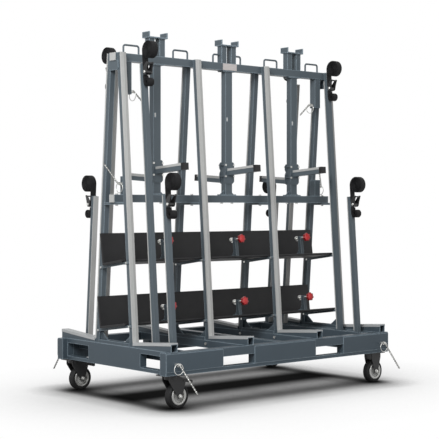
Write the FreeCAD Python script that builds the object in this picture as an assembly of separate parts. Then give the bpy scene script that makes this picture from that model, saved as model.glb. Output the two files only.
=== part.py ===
import FreeCAD, Part
import math
import os

Vector = FreeCAD.Vector

# Base frame
sill_length = 1600.0
base_width = 952.0
sill_width = 50.0
sill_height = 112.0
sill_bottom = 171.0
sill_wall = 4.0
sill_end_plate = 4.0
panel_thickness = 3.0
panel_edge = 6.0
station_pitch = 500.0
beam_width = 40.0
beam_wall = 3.0
cross_height = 40.0
fork_spacing = 656.0
fork_width = 214.0
fork_height = 50.0
fork_floor = 18.0
end_pocket_width = 196.0
end_pocket_height = 70.0
end_pocket_floor = 18.0

# Rails that carry the poles
rail_x = 670.0
rail_width = 44.0
rail_wall = 3.0
rail_height = 60.0
pole_size = 26.0
slot_clearance = 0.6

# A-frame
lean = 4.2
foot_half_spread = 165.3
leg_size = 30.0
leg_wall = 2.5
facing_front = 4.0
facing_side = 2.0
facing_wrap = 4.0
ridge_top = 1782.0
ridge_height = 40.0
ridge_width = 50.0
ridge_overhang = 22.0
mid_rail_top = 1055.0
mid_rail_size = 40.0
mid_rail_overhang = 28.0
rail_tube_wall = 3.0
rung_thickness = 12.0
gusset_thickness = 6.0
gusset_reach = 66.0
gusset_height = 56.0
bare_plate_width = 100.0
bare_plate_height = 36.0
bare_plate_thickness = 2.0
top_plate_thickness = 5.0
top_plate_height = 50.0
top_plate_width = 84.0

# Ledges the slabs stand on
ledge_height = 18.0
ledge_wall = 3.0
strip_thickness = 6.0
strip_lip = 8.0
strip_side = 2.0

# Trays between the legs
tray_tilt = 8.0
tray_upper_z = 702.0
tray_lower_z = 374.0
tray_left = 790.0
tray_right = 735.0
shelf_thickness = 12.0
board_thickness = 10.0
board_height = 155.0
tray_clearance = 0.5
shelf_clearance = 3.0
tray_bar_thickness = 6.0
tray_bar_height = 12.0

# Screw clamps on the trays
clamp_pitch = 500.0
clamp_upper_height = 90.0
clamp_lower_height = 72.0
clamp_post_width = 20.0
clamp_post_depth = 20.0
clamp_foot_length = 50.0
clamp_foot_thickness = 5.0
screw_radius = 6.0
screw_clearance = 0.06
pad_radius = 14.0
pad_thickness = 6.0
pad_standoff = 16.0
knob_radius = 24.0
knob_thickness = 14.0
knob_lobes = 7
knob_standoff = 36.0

# Masts, support arms and heads
mast_width = 48.0
mast_depth = 36.0
mast_wall = 3.0
mast_plate = 6.0
mast_foot_half = 52.0
mast_rib_height = 22.0
mast_slot_z = 1474.0
mast_slot_width = 9.0
mast_slot_height = 22.0
arm_plate_half = 34.0
arm_plate_thickness = 6.0
arm_plate_top = 1238.0
arm_plate_height = 118.0
arm_slide_clearance = 0.3
arm_front_z = 1182.0
arm_rear_z = 1140.0
arm_length = 236.0
arm_rise = 4.0
arm_size = 32.0
arm_wall = 3.0
arm_strip = 4.0
arm_strip_lip = 9.0
arm_strip_side = 2.0
arm_cap = 20.0
head_post_width = 35.0
head_post_depth = 37.0
head_post_gap = 34.0
head_post_height = 95.0
saddle_half_length = 62.0
saddle_depth = 60.0
saddle_plate = 6.0
saddle_lip = 26.0

# Carrying handles on the ridge
handle_rod = 5.0
handle_span = 98.0
handle_height = 46.0
handle_bend = 12.0
handle_outer_x = 657.0
handle_inner_x = 330.0
half_handle_x = 100.0

# Accessory sockets and lock pins
socket_x = 690.0
socket_size = 42.0
socket_wall = 3.0
socket_drop = 169.0
socket_stand = 95.0
pin_barrel = 9.0
pin_length = 18.0
pin_ring = 27.0
pin_wire = 2.0
pin_gap = 0.2
pin_waist = 7.0
corner_pin_setback = 60.0
corner_pin_z = 224.0

# Casters
caster_end_setback = 70.0
caster_side_setback = 56.0
caster_plate_x = 110.0
caster_plate_y = 90.0
caster_plate_thickness = 6.0
wheel_radius = 62.5
tyre_width = 40.0
rim_radius = 38.0
tyre_fit = 0.3
hub_half = 24.5
axle_radius = 6.0
running_fit = 0.05
fork_gap = 50.0
fork_plate = 4.0
swivel_trail = 38.0
crown_radius = 34.0
crown_thickness = 14.0
kingpin_radius = 8.0
race_radius = 30.0
race_height = 2.7
race_gap = 0.3
pedal_pivot_x = 62.0
pedal_pivot_z = 137.0
pedal_pin = 4.0
pedal_tip_x = 122.0

# Poles and their straps
pole_wall = 2.5
pole_facing = 3.0
pole_facing_side = 2.0
pole_facing_wrap = 2.0
pole_rail_gap = 0.3
shoe_length = 50.0
shoe_side_gap = 1.0
shoe_height = 12.0
tall_pole_top = 1722.0
short_pole_top = 1050.0
tall_front_left = 230.0
tall_front_right = 226.0
tall_rear_left = 228.0
tall_rear_right = 244.0
short_front_left_inset = 108.0
short_front_right_inset = 114.0
short_rear_left_inset = 110.0
short_rear_right_inset = 100.0
web_width = 35.0
web_thickness = 4.4
web_pitch = 5.3
web_stand = 0.3
roll_radius = 47.0
roll_turns = 8
roll_rise = 62.0
small_roll_radius = 25.0
small_roll_turns = 3
small_roll_drop = 98.0
turn_sides = 12
ratchet_half = 20.0
ratchet_plate = 3.0
ratchet_spindle = 8.0
ratchet_drop = 47.0

# Plugs in the open tube ends
cap_thickness = 4.0
cap_stub = 12.0
cap_fit = 0.2

# Fasteners
bolt_head = 13.0
bolt_head_height = 6.0

deck = sill_bottom + sill_height
half_width = base_width / 2.0
inner_half = half_width - sill_width
short_front_left = half_width - short_front_left_inset
short_front_right = half_width - short_front_right_inset
short_rear_left = half_width - short_rear_left_inset
short_rear_right = half_width - short_rear_right_inset
sill_face = half_width - panel_thickness
rail_bottom = deck - rail_height
caster_x = sill_length / 2.0 - caster_end_setback
caster_y = half_width - caster_side_setback
cross_bottom = deck - cross_height
slope = math.tan(math.radians(lean))
lean_cos = math.cos(math.radians(lean))
stations = [station_pitch * k for k in (-1.5, -0.5, 0.5, 1.5)]
mast_places = [-station_pitch, 0.0, station_pitch]
ridge_bottom = ridge_top - ridge_height
mid_rail_bottom = mid_rail_top - mid_rail_size
tray_cos = math.cos(math.radians(tray_tilt))
tray_sin = math.sin(math.radians(tray_tilt))


def block(x0, x1, y0, y1, z0, z1):
    """Box between two corners."""
    return Part.makeBox(x1 - x0, y1 - y0, z1 - z0, Vector(x0, y0, z0))


def prism(points, x0, x1):
    """Flat outline of (y, z) points carried along X."""
    outline = [Vector(x0, y, z) for y, z in points]
    face = Part.Face(Part.makePolygon(outline + outline[:1]))
    return face.extrude(Vector(x1 - x0, 0, 0))


def side_prism(points, y0, y1):
    """Flat outline of (x, z) points carried along Y."""
    outline = [Vector(x, y0, z) for x, z in points]
    face = Part.Face(Part.makePolygon(outline + outline[:1]))
    return face.extrude(Vector(0, y1 - y0, 0))


def rod(start, end, radius):
    """Round bar from one point to another."""
    along = end - start
    return Part.makeCylinder(radius, along.Length, start, along)


def hexagon(centre, axis, across, height):
    """Hexagon head standing on a face, its axis pointing away from that face."""
    ring = []
    for k in range(7):
        turn = math.radians(60.0 * k + 30.0)
        ring.append(Vector(across / math.sqrt(3.0) * math.cos(turn),
                           across / math.sqrt(3.0) * math.sin(turn), 0))
    head = Part.Face(Part.makePolygon(ring)).extrude(Vector(0, 0, height))
    head.Placement = FreeCAD.Placement(centre, FreeCAD.Rotation(Vector(0, 0, 1), axis))
    return head


def mirror_y(shape):
    """The same piece on the other long side."""
    return shape.mirror(Vector(0, 0, 0), Vector(0, 1, 0))


def mirror_x(shape):
    """The same piece at the other end."""
    return shape.mirror(Vector(0, 0, 0), Vector(1, 0, 0))


def write(name, solids):
    """Save the separate solids of one node."""
    Part.makeCompound(solids).exportStep("parts/%s.step" % name)


def leg_outer(z):
    """Distance from the middle plane to the outer face of a leg tube."""
    return foot_half_spread - (z - deck) * slope


def leg_inner(z):
    """Distance from the middle plane to the inner face of a leg tube."""
    return leg_outer(z) - leg_size / lean_cos


def lean_in(shape, foot_x, foot_y):
    """Stand a piece drawn upright at the origin on the deck, leaning towards the middle plane."""
    shape.rotate(Vector(0, 0, 0), Vector(1, 0, 0), -lean)
    shape.translate(Vector(foot_x, foot_y, deck))
    return shape


def make_sill():
    """Front sill: box section between its end plates, with two lined fork pockets."""
    half = sill_length / 2.0 - sill_end_plate
    outer = block(-half, half, -sill_face, -inner_half, sill_bottom, deck)
    hollow = block(-half, half, -sill_face + sill_wall, -inner_half - sill_wall,
                   sill_bottom + sill_wall, deck - sill_wall)
    floor = sill_bottom + fork_floor
    for centre in (-fork_spacing / 2.0, fork_spacing / 2.0):
        low = centre - fork_width / 2.0
        high = centre + fork_width / 2.0
        liner = block(low - sill_wall, high + sill_wall, -sill_face, -inner_half,
                      floor - sill_wall, floor + fork_height + sill_wall)
        hollow = hollow.cut(liner)
        outer = outer.cut(block(low, high, -sill_face - 1, -inner_half + 1, floor, floor + fork_height))
    return outer.cut(hollow)


def make_sill_end():
    """Plate that closes the left end of the front sill."""
    end = -sill_length / 2.0
    return block(end, end + sill_end_plate, -sill_face, -inner_half, sill_bottom, deck)


def make_panels():
    """Front cover plates on the outer face of a sill, between and beside the fork pockets."""
    half = sill_length / 2.0
    inside = fork_spacing / 2.0 - fork_width / 2.0
    outside = fork_spacing / 2.0 + fork_width / 2.0
    low = sill_bottom + fork_floor
    high = deck - panel_edge
    middle = block(-inside, inside, -half_width, -sill_face, low, high)
    left = block(-half, -outside, -half_width, -sill_face, low, high)
    return [middle, left, mirror_x(left)]


def make_end_beam():
    """Left end beam: box section between the sills with a pocket beside each sill."""
    middle = stations[0]
    low = middle - beam_width / 2.0
    high = middle + beam_width / 2.0
    outer = block(low, high, -inner_half, inner_half, sill_bottom, deck)
    hollow = block(low + sill_wall, high - sill_wall, -inner_half + sill_wall, inner_half - sill_wall,
                   sill_bottom + sill_wall, deck - sill_wall)
    floor = sill_bottom + end_pocket_floor
    for side in (-1, 1):
        ends = sorted((side * (inner_half - sill_wall), side * (inner_half - sill_wall - end_pocket_width)))
        liner = block(low, high, ends[0] - sill_wall, ends[1] + sill_wall,
                      floor - sill_wall, floor + end_pocket_height + sill_wall)
        hollow = hollow.cut(liner)
        outer = outer.cut(block(low - 1, high + 1, ends[0], ends[1], floor, floor + end_pocket_height))
    return outer.cut(hollow)


def make_cross_member(x):
    """Box section from sill to sill, above the fork path."""
    half = beam_width / 2.0
    outer = block(x - half, x + half, -inner_half, inner_half, cross_bottom, deck)
    return outer.cut(block(x - half + beam_wall, x + half - beam_wall, -inner_half, inner_half,
                           cross_bottom + beam_wall, deck - beam_wall))


def make_foot_tie(x):
    """Open channel between the feet of one pair of legs."""
    half = beam_width / 2.0
    top = deck + 18.0
    end = leg_inner(top) - 1.0
    outer = block(x - half, x + half, -end, end, deck, top)
    return outer.cut(block(x - half + beam_wall, x + half - beam_wall, -end, end, deck + beam_wall, top))


def make_pole_rail(x):
    """Slotted channel from sill to sill that holds the shoes of the poles."""
    half = rail_width / 2.0
    slot = pole_size / 2.0 + slot_clearance
    rail = block(x - half, x + half, -inner_half, inner_half, rail_bottom, deck)
    rail = rail.cut(block(x - half + rail_wall, x + half - rail_wall, -inner_half, inner_half,
                          rail_bottom + rail_wall, deck - rail_wall))
    return rail.cut(block(x - slot, x + slot, -inner_half, inner_half, deck - rail_wall, deck))


def ledge_top(distance, height):
    """Height of a plane square to the leg, at a distance from the middle plane."""
    return deck + height / lean_cos + (distance - foot_half_spread) * slope


def make_ledge(x):
    """Front wedge beam from a leg foot to the face of the sill, open at its outer end."""
    half = beam_width / 2.0
    near = foot_half_spread + 1.5
    outer = prism([(-near, deck), (-half_width, deck), (-half_width, ledge_top(half_width, ledge_height)),
                   (-near, ledge_top(near, ledge_height))], x - half, x + half)
    inner_near = near + ledge_wall
    roof = ledge_wall / lean_cos
    hollow = prism([(-inner_near, deck + ledge_wall), (-half_width, deck + ledge_wall),
                    (-half_width, ledge_top(half_width, ledge_height) - roof),
                    (-inner_near, ledge_top(inner_near, ledge_height) - roof)],
                   x - half + ledge_wall, x + half - ledge_wall)
    return outer.cut(hollow)


def make_ledge_strip(x):
    """Front wear strip that caps a ledge and folds down both sides of it."""
    half = beam_width / 2.0
    near = foot_half_spread + 1.5
    full = half + strip_side
    cap = prism([(-near, ledge_top(near, ledge_height - strip_lip)),
                 (-half_width, ledge_top(half_width, ledge_height - strip_lip)),
                 (-half_width, ledge_top(half_width, ledge_height + strip_thickness)),
                 (-near, ledge_top(near, ledge_height + strip_thickness))], x - full, x + full)
    inside = prism([(-near, ledge_top(near, 0) - strip_lip),
                    (-half_width, ledge_top(half_width, 0) - strip_lip),
                    (-half_width, ledge_top(half_width, ledge_height)),
                    (-near, ledge_top(near, ledge_height))], x - half, x + half)
    return cap.cut(inside)


def make_leg(x):
    """Front leg tube, cut level at the deck and at the top of the ridge."""
    half = leg_size / 2.0
    length = (ridge_top - deck) / lean_cos + leg_size
    tube = block(-half, half, 0, leg_size, -leg_size, length)
    tube = tube.cut(block(-half + leg_wall, half - leg_wall, leg_wall, leg_size - leg_wall, -leg_size,
                          length))
    tube = lean_in(tube, x, -foot_half_spread)
    tube = tube.common(block(x - leg_size, x + leg_size, -base_width, base_width, deck, ridge_top))
    return tube.cut(block(x - leg_size, x + leg_size, -ridge_width / 2.0, ridge_width / 2.0, ridge_bottom,
                          ridge_top))


def make_leg_facing(x):
    """Front facing: channel of pale plastic over the outer side of a leg, standing on the ledge strip."""
    half = leg_size / 2.0
    start = ledge_height + strip_thickness
    length = (ridge_top - deck) / lean_cos + leg_size
    outer = block(-half - facing_side, half + facing_side, -facing_front, facing_wrap, start, length)
    outer = outer.cut(block(-half, half, 0, facing_wrap, start, length))
    outer = lean_in(outer, x, -foot_half_spread)
    outer = outer.common(block(x - leg_size, x + leg_size, -base_width, 0, deck, ridge_top))
    return outer.cut(block(x - leg_size, x + leg_size, -ridge_width / 2.0, 0, ridge_bottom, ridge_top))


def make_foot_gusset(x):
    """Front web plate between a foot tie and the inner face of a leg."""
    floor = deck + beam_wall
    top = deck + gusset_height
    points = [(-leg_inner(floor) + gusset_reach, floor), (-leg_inner(floor), floor), (-leg_inner(top), top),
              (-leg_inner(top) + 10.0, top), (-leg_inner(floor) + gusset_reach, floor + 12.0)]
    return prism(points, x - gusset_thickness / 2.0, x + gusset_thickness / 2.0)


def make_top_plate(x, side):
    """Plate that ties the tops of one pair of legs under the ridge, on one side of them."""
    face = leg_size / 2.0
    ends = sorted((x + side * face, x + side * (face + top_plate_thickness)))
    half = top_plate_width / 2.0
    low = ridge_bottom - top_plate_height
    points = [(-half, low + 10.0), (-half + 10.0, low), (half - 10.0, low), (half, low + 10.0),
              (half - 4.0, ridge_bottom), (-half + 4.0, ridge_bottom)]
    return prism(points, ends[0], ends[1])


def make_square_rail(half_length, half_depth, bottom, top):
    """Box section along X with open ends."""
    tube = block(-half_length, half_length, -half_depth, half_depth, bottom, top)
    return tube.cut(block(-half_length, half_length, -half_depth + rail_tube_wall,
                          half_depth - rail_tube_wall,
                          bottom + rail_tube_wall, top - rail_tube_wall))


def make_end_cap(half_length, half_depth, bottom, top):
    """Left plug: a plate over the end of a box section with a stub inside it."""
    plate = block(-half_length - cap_thickness, -half_length, -half_depth, half_depth, bottom, top)
    inset = rail_tube_wall + cap_fit
    stub = block(-half_length, -half_length + cap_stub, -half_depth + inset, half_depth - inset,
                 bottom + inset, top - inset)
    return plate.fuse(stub)


def make_mid_rung(x):
    """Flat bar under the mid-rail between one pair of legs."""
    low = mid_rail_bottom - rung_thickness
    half = beam_width / 2.0
    points = [(-leg_inner(low), low), (leg_inner(low), low), (leg_inner(mid_rail_bottom), mid_rail_bottom),
              (-leg_inner(mid_rail_bottom), mid_rail_bottom)]
    return prism(points, x - half, x + half)


def tray_corner(level):
    """Distance of a tray's inner corner from the middle plane; the board just clears the rear legs."""
    top = level - board_thickness * tray_sin + board_height * tray_cos
    return leg_inner(top) - tray_clearance - board_thickness * tray_cos - board_height * tray_sin


def shelf_depth(level):
    """Depth of a shelf from its inner corner to just short of the front legs."""
    reach = tray_corner(level) + leg_inner(level + 20.0) - shelf_clearance
    return (reach - shelf_thickness * tray_sin) / tray_cos


def on_tray(a, b, level):
    """World (y, z) of a point a towards the front and b above a tray's inner corner."""
    return (tray_corner(level) - a * tray_cos + b * tray_sin, level + a * tray_sin + b * tray_cos)


def tray_block(x0, x1, a0, a1, b0, b1, level):
    """Box drawn in the tilted frame of a tray."""
    corners = [(a0, b0), (a1, b0), (a1, b1), (a0, b1)]
    return prism([on_tray(a, b, level) for a, b in corners], x0, x1)


def tray_vector(a, b, level, x):
    """World point of a place in a tray's frame."""
    y, z = on_tray(a, b, level)
    return Vector(x, y, z)


def make_shelf(level):
    """Tray floor with its front edge bevelled."""
    depth = shelf_depth(level)
    bevel = 4.0
    corners = [(-board_thickness, -shelf_thickness), (depth - bevel, -shelf_thickness),
               (depth, -shelf_thickness + bevel),
               (depth, -bevel), (depth - bevel, 0), (-board_thickness, 0)]
    return prism([on_tray(a, b, level) for a, b in corners], -tray_left, tray_right)


def make_board(level):
    """Back board standing square on a tray floor, its top edges bevelled."""
    bevel = 3.0
    corners = [(-board_thickness, 0), (0, 0), (0, board_height - bevel), (-bevel, board_height),
               (-board_thickness, board_height)]
    return prism([on_tray(a, b, level) for a, b in corners], -tray_left, tray_right)


def make_tray_bar(x, level):
    """Flat bar on edge on the left of a pair of legs, carrying a tray floor."""
    face = leg_size / 2.0
    reach = leg_outer(level + 30.0) - (facing_wrap + 4.0) / lean_cos
    corner = tray_corner(level)
    front = (corner + reach) / tray_cos
    back = (corner - reach) / tray_cos
    return tray_block(x - face - tray_bar_thickness, x - face, back, front,
                      -shelf_thickness - tray_bar_height,
                      -shelf_thickness, level)


def clamp_height(level):
    """Height of the clamp screw over a tray floor."""
    if level == tray_upper_z:
        return clamp_upper_height
    return clamp_lower_height


def make_clamp_post(x, level):
    """Angle bracket at the front edge of a tray, bored for the clamp screw."""
    height = clamp_height(level)
    front = shelf_depth(level) - 6.0
    back = front - clamp_post_depth
    half = clamp_post_width / 2.0
    post = tray_block(x - half, x + half, back, front, 0, height + half, level)
    foot = tray_block(x - half, x + half, front - clamp_foot_length, front, 0, clamp_foot_thickness, level)
    web = prism([on_tray(a, b, level) for a, b in ((back, clamp_foot_thickness),
                                                   (back - 24.0, clamp_foot_thickness),
                                                   (back, clamp_foot_thickness + 34.0))], x - 3.0, x + 3.0)
    bore = rod(tray_vector(back - 5.0, height, level, x), tray_vector(front + 5.0, height, level, x),
               screw_radius + screw_clearance)
    return post.fuse(foot).fuse(web).cut(bore).removeSplitter()


def make_knob(x, level, start):
    """Lobed knob on the clamp screw, from an outline of round lobes and hollows."""
    height = clamp_height(level)
    outline = []
    waist = knob_radius * 0.86
    for k in range(knob_lobes):
        spread = 360.0 / knob_lobes
        for offset, radius in ((-0.28, waist), (0.0, knob_radius), (0.28, waist), (0.5, waist * 0.94)):
            turn = math.radians(spread * (k + offset))
            across = x + radius * math.sin(turn)
            base = tray_vector(start, height + radius * math.cos(turn), level, across)
            outline.append(base)
    outline.append(outline[0])
    edges = []
    for k in range(0, len(outline) - 1, 2):
        third = outline[k + 2]
        edges.append(Part.Arc(outline[k], outline[k + 1], third).toShape())
    face = Part.Face(Part.Wire(edges))
    along = tray_vector(1.0, 0, level, 0) - tray_vector(0, 0, level, 0)
    return face.extrude(along * knob_thickness)


def make_clamp_screw(x, level):
    """Pad, screw and knob that travel together through a clamp post."""
    height = clamp_height(level)
    front = shelf_depth(level) - 6.0
    back = front - clamp_post_depth
    pad_face = back - pad_standoff
    knob_start = front + knob_standoff
    screw = rod(tray_vector(pad_face, height, level, x), tray_vector(knob_start, height, level, x),
                screw_radius)
    pad = rod(tray_vector(pad_face - pad_thickness, height, level, x),
              tray_vector(pad_face, height, level, x), pad_radius)
    return [screw, pad, make_knob(x, level, knob_start)]


def make_mast(x):
    """Mast tube with a ribbed foot plate on the mid-rail and a plate under the ridge."""
    half = mast_width / 2.0
    depth = mast_depth / 2.0
    low = mid_rail_top + mast_plate
    high = ridge_bottom - mast_plate
    mast = block(x - half, x + half, -depth, depth, low, high)
    mast = mast.cut(block(x - half + mast_wall, x + half - mast_wall, -depth + mast_wall, depth - mast_wall,
                          low, high))
    foot = block(x - mast_foot_half, x + mast_foot_half, -mid_rail_size / 2.0, mid_rail_size / 2.0,
                 mid_rail_top, low)
    head = block(x - half - 20.0, x + half + 20.0, -ridge_width / 2.0, ridge_width / 2.0, high,
                 ridge_bottom)
    mast = mast.fuse(foot).fuse(head)
    for side in (-1, 1):
        points = [(x + side * half, low), (x + side * (mast_foot_half - 4.0), low),
                  (x + side * half, low + mast_rib_height)]
        mast = mast.fuse(side_prism(points, -3.0, 3.0))
    slot = block(x - half / 2.0 - mast_slot_width / 2.0, x - half / 2.0 + mast_slot_width / 2.0,
                 -mast_depth, mast_depth,
                 mast_slot_z - mast_slot_height / 2.0, mast_slot_z + mast_slot_height / 2.0)
    return mast.cut(slot).removeSplitter()


def make_arm(x, root, root_z, side):
    """Support arm on one side of the mast: tube, pale strip on top, end cap."""
    half = arm_size / 2.0
    tube = block(-half, half, 0, arm_length - arm_cap, -half, half)
    tube = tube.cut(block(-half + arm_wall, half - arm_wall, 0, arm_length - arm_cap, -half + arm_wall,
                          half - arm_wall))
    wide = half + arm_strip_side
    strip = block(-wide, wide, 0, arm_length - arm_cap, half - arm_strip_lip, half + arm_strip)
    strip = strip.cut(block(-half, half, 0, arm_length - arm_cap, half - arm_strip_lip, half))
    cap = block(-wide, wide, arm_length - arm_cap, arm_length, -half, half + arm_strip)
    pieces = []
    slant = math.tan(math.radians(arm_rise)) * (half + arm_strip)
    for piece in (tube, strip, cap):
        piece.rotate(Vector(0, 0, 0), Vector(1, 0, 0), arm_rise)
        piece.translate(Vector(x, root - slant, root_z))
        piece = piece.common(block(x - arm_size, x + arm_size, root, root + 2 * arm_length,
                                   root_z - arm_length,
                                   root_z + arm_length))
        pieces.append(piece if side > 0 else mirror_y(piece))
    return pieces


def make_arm_set(x):
    """Clamp plates on both faces of a mast, their bolts, and an arm on each plate."""
    inner = mast_depth / 2.0 + arm_slide_clearance
    outer = inner + arm_plate_thickness
    low = arm_plate_top - arm_plate_height
    top = arm_plate_top
    half = arm_plate_half
    outline = [(x - half, top - 10.0), (x - half + 8.0, top), (x + half - 8.0, top), (x + half, top - 10.0),
               (x + half, top - 32.0), (x + half - 8.0, top - 46.0), (x + half, top - 62.0),
               (x + half, low + 12.0), (x + half - 10.0, low), (x - half + 10.0, low),
               (x - half, low + 12.0),
               (x - half, top - 62.0), (x - half + 8.0, top - 46.0), (x - half, top - 32.0)]
    plate = side_prism(outline, inner, outer)
    solids = [plate, mirror_y(plate)]
    bolt_x = (mast_width / 2.0 + half) / 2.0 + 0.5
    for z in (top - 16.0, top - 78.0):
        for side in (-1, 1):
            centre = x + side * bolt_x
            solids.append(rod(Vector(centre, -inner, z), Vector(centre, inner, z), 4.0))
            solids.append(hexagon(Vector(centre, outer, z), Vector(0, 1, 0), 10.0, 5.0))
            solids.append(hexagon(Vector(centre, -outer, z), Vector(0, -1, 0), 10.0, 5.0))
    solids += make_arm(x, outer, arm_front_z, -1)
    solids += make_arm(x, outer, arm_rear_z, 1)
    return solids


def make_head(x):
    """Two posts on the ridge and the saddle they carry."""
    inner = head_post_gap / 2.0
    half = head_post_depth / 2.0
    high = ridge_top + head_post_height
    solids = []
    for side in (-1, 1):
        ends = sorted((x + side * inner, x + side * (inner + head_post_width)))
        solids.append(block(ends[0], ends[1], -half, half, ridge_top, high))
    wide = saddle_half_length
    top = high + saddle_plate
    outline = [(x - wide, high), (x + wide, high), (x + wide, top + saddle_lip),
               (x + wide - saddle_plate, top + saddle_lip), (x + wide - saddle_plate, top),
               (x - wide + saddle_plate, top), (x - wide + saddle_plate, top + saddle_lip),
               (x - wide, top + saddle_lip)]
    solids.append(side_prism(outline, -saddle_depth / 2.0, saddle_depth / 2.0))
    return solids


def sweep_rod(points, bend, radius):
    """Round bar along straight runs joined by bends of one radius."""
    edges = []
    start = points[0]
    for k in range(1, len(points) - 1):
        back = (points[k - 1] - points[k]).normalize()
        ahead = (points[k + 1] - points[k]).normalize()
        enter = points[k] + back * bend
        leave = points[k] + ahead * bend
        centre = points[k] + (back + ahead) * bend
        middle = centre + (points[k] - centre).normalize() * bend
        edges.append(Part.makeLine(start, enter))
        edges.append(Part.Arc(enter, middle, leave).toShape())
        start = leave
    edges.append(Part.makeLine(start, points[-1]))
    path = Part.Wire(edges)
    ring = Part.Wire(Part.makeCircle(radius, points[0], points[1] - points[0]))
    return path.makePipeShell([ring], True, False)


def make_handle(x):
    """Rod loop standing on the ridge."""
    half = handle_span / 2.0
    top = ridge_top + handle_height
    return sweep_rod([Vector(x - half, 0, ridge_top), Vector(x - half, 0, top), Vector(x + half, 0, top),
                      Vector(x + half, 0, ridge_top)], handle_bend, handle_rod)


def make_half_handle():
    """Left rod bow from the ridge to the side of the middle head."""
    post = head_post_gap / 2.0 + head_post_width
    top = ridge_top + handle_height
    return sweep_rod([Vector(-half_handle_x, 0, ridge_top), Vector(-half_handle_x, 0, top),
                      Vector(-post, 0, top)],
                     handle_bend, handle_rod)


def make_socket(bottom, top):
    """Left accessory socket, a square tube open at both ends, bored for its lock pin."""
    half = socket_size / 2.0
    tube = block(-socket_x - half, -socket_x + half, -half, half, bottom, top)
    return tube.cut(block(-socket_x - half + socket_wall, -socket_x + half - socket_wall,
                          -half + socket_wall,
                          half - socket_wall, bottom, top))


def make_lock_pin(seat, axis, hang, wire_end):
    """Plunger with a waisted stem on a face, a pull ring hung on the waist and a stiff wire at the tip."""
    tip = seat + axis * pin_length
    waist = pin_barrel / 2.0
    end = tip + axis * pin_waist
    plunger = rod(seat, tip, pin_barrel).fuse(rod(tip, end, waist)).fuse(rod(end, end + axis * 3.0,
                                                                             waist + 3.0))
    ring_centre = tip + axis * (pin_waist / 2.0) + hang * (pin_ring - pin_wire - waist - pin_gap)
    ring = Part.makeTorus(pin_ring, pin_wire, ring_centre, axis)
    wire_start = end + axis * (3.0 + pin_wire)
    return [plunger, ring, rod(wire_start, wire_start + wire_end, pin_wire)]


def make_caster_plate():
    """Swivel caster plate at the front left: race and kingpin under a flat plate."""
    top = sill_bottom
    low = top - caster_plate_thickness
    half_x = caster_plate_x / 2.0
    half_y = caster_plate_y / 2.0
    plate = block(-caster_x - half_x, -caster_x + half_x, -caster_y - half_y, -caster_y + half_y, low, top)
    race = Part.makeCylinder(race_radius, race_height, Vector(-caster_x, -caster_y, low - race_height))
    crown_top = low - race_height - race_gap
    pin_low = crown_top - crown_thickness - race_gap
    pin = Part.makeCylinder(kingpin_radius, low - pin_low, Vector(-caster_x, -caster_y, pin_low))
    nut = hexagon(Vector(-caster_x, -caster_y, pin_low), Vector(0, 0, -1), 24.0, 7.0)
    return plate.fuse(race).fuse(pin).fuse(nut)


def make_swivel_fork():
    """Front left swivel fork: crown on the kingpin, two cheeks trailing to the axle, axle and pedal pin."""
    crown_top = sill_bottom - caster_plate_thickness - race_height - race_gap
    crown_low = crown_top - crown_thickness
    centre = Vector(-caster_x, -caster_y, crown_low)
    crown = Part.makeCylinder(crown_radius, crown_thickness, centre)
    axle_x = -caster_x + swivel_trail
    outline = [(-30.0, crown_top), (34.0, crown_top), (72.0, pedal_pivot_z + 6.0),
               (72.0, pedal_pivot_z - 8.0),
               (swivel_trail + 13.0, wheel_radius - 6.0), (swivel_trail + 6.0, wheel_radius - 13.0),
               (swivel_trail - 6.0, wheel_radius - 13.0), (swivel_trail - 13.0, wheel_radius - 4.0),
               (-30.0, crown_low - 8.0)]
    cheek = side_prism([(-caster_x + a, z) for a, z in outline], fork_gap / 2.0,
                       fork_gap / 2.0 + fork_plate)
    body = crown
    for side in (-1, 1):
        place = cheek.copy() if side > 0 else mirror_y(cheek)
        place.translate(Vector(0, -caster_y, 0))
        body = body.fuse(place)
    reach = fork_gap / 2.0 + fork_plate + 4.0
    axle = rod(Vector(axle_x, -caster_y - reach, wheel_radius),
               Vector(axle_x, -caster_y + reach, wheel_radius), axle_radius)
    pivot_x = -caster_x + pedal_pivot_x
    pin = rod(Vector(pivot_x, -caster_y - reach, pedal_pivot_z),
              Vector(pivot_x, -caster_y + reach, pedal_pivot_z), pedal_pin)
    bore = Part.makeCylinder(kingpin_radius + running_fit, crown_thickness, centre)
    return body.cut(bore).fuse(axle).fuse(pin).removeSplitter()


def make_pedal():
    """Front left brake pedal: hub on the fork's pin, shoe over the tyre, tread to step on."""
    x = -caster_x + pedal_pivot_x
    z = pedal_pivot_z
    half = fork_gap / 2.0 - 0.5
    hub = rod(Vector(x, -caster_y - half, z), Vector(x, -caster_y + half, z), pedal_pin + 4.0)
    tip = -caster_x + pedal_tip_x
    tread = side_prism([(x, z - 4.0), (tip - 8.0, z - 16.0), (tip, z - 14.0), (tip, z - 2.0),
                        (x + 20.0, z + 8.0), (x, z + 6.0)], -caster_y - half + 2.0, -caster_y + half - 2.0)
    shoe = side_prism([(x, z - 6.0), (x + 14.0, z - 2.0), (x + 13.0, z - 14.0), (x + 5.0, z - 13.0)],
                      -caster_y - 16.0, -caster_y + 16.0)
    bore = rod(Vector(x, -caster_y - half - 1, z), Vector(x, -caster_y + half + 1, z),
               pedal_pin + running_fit)
    return hub.fuse(tread).fuse(shoe).cut(bore).removeSplitter()


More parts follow.
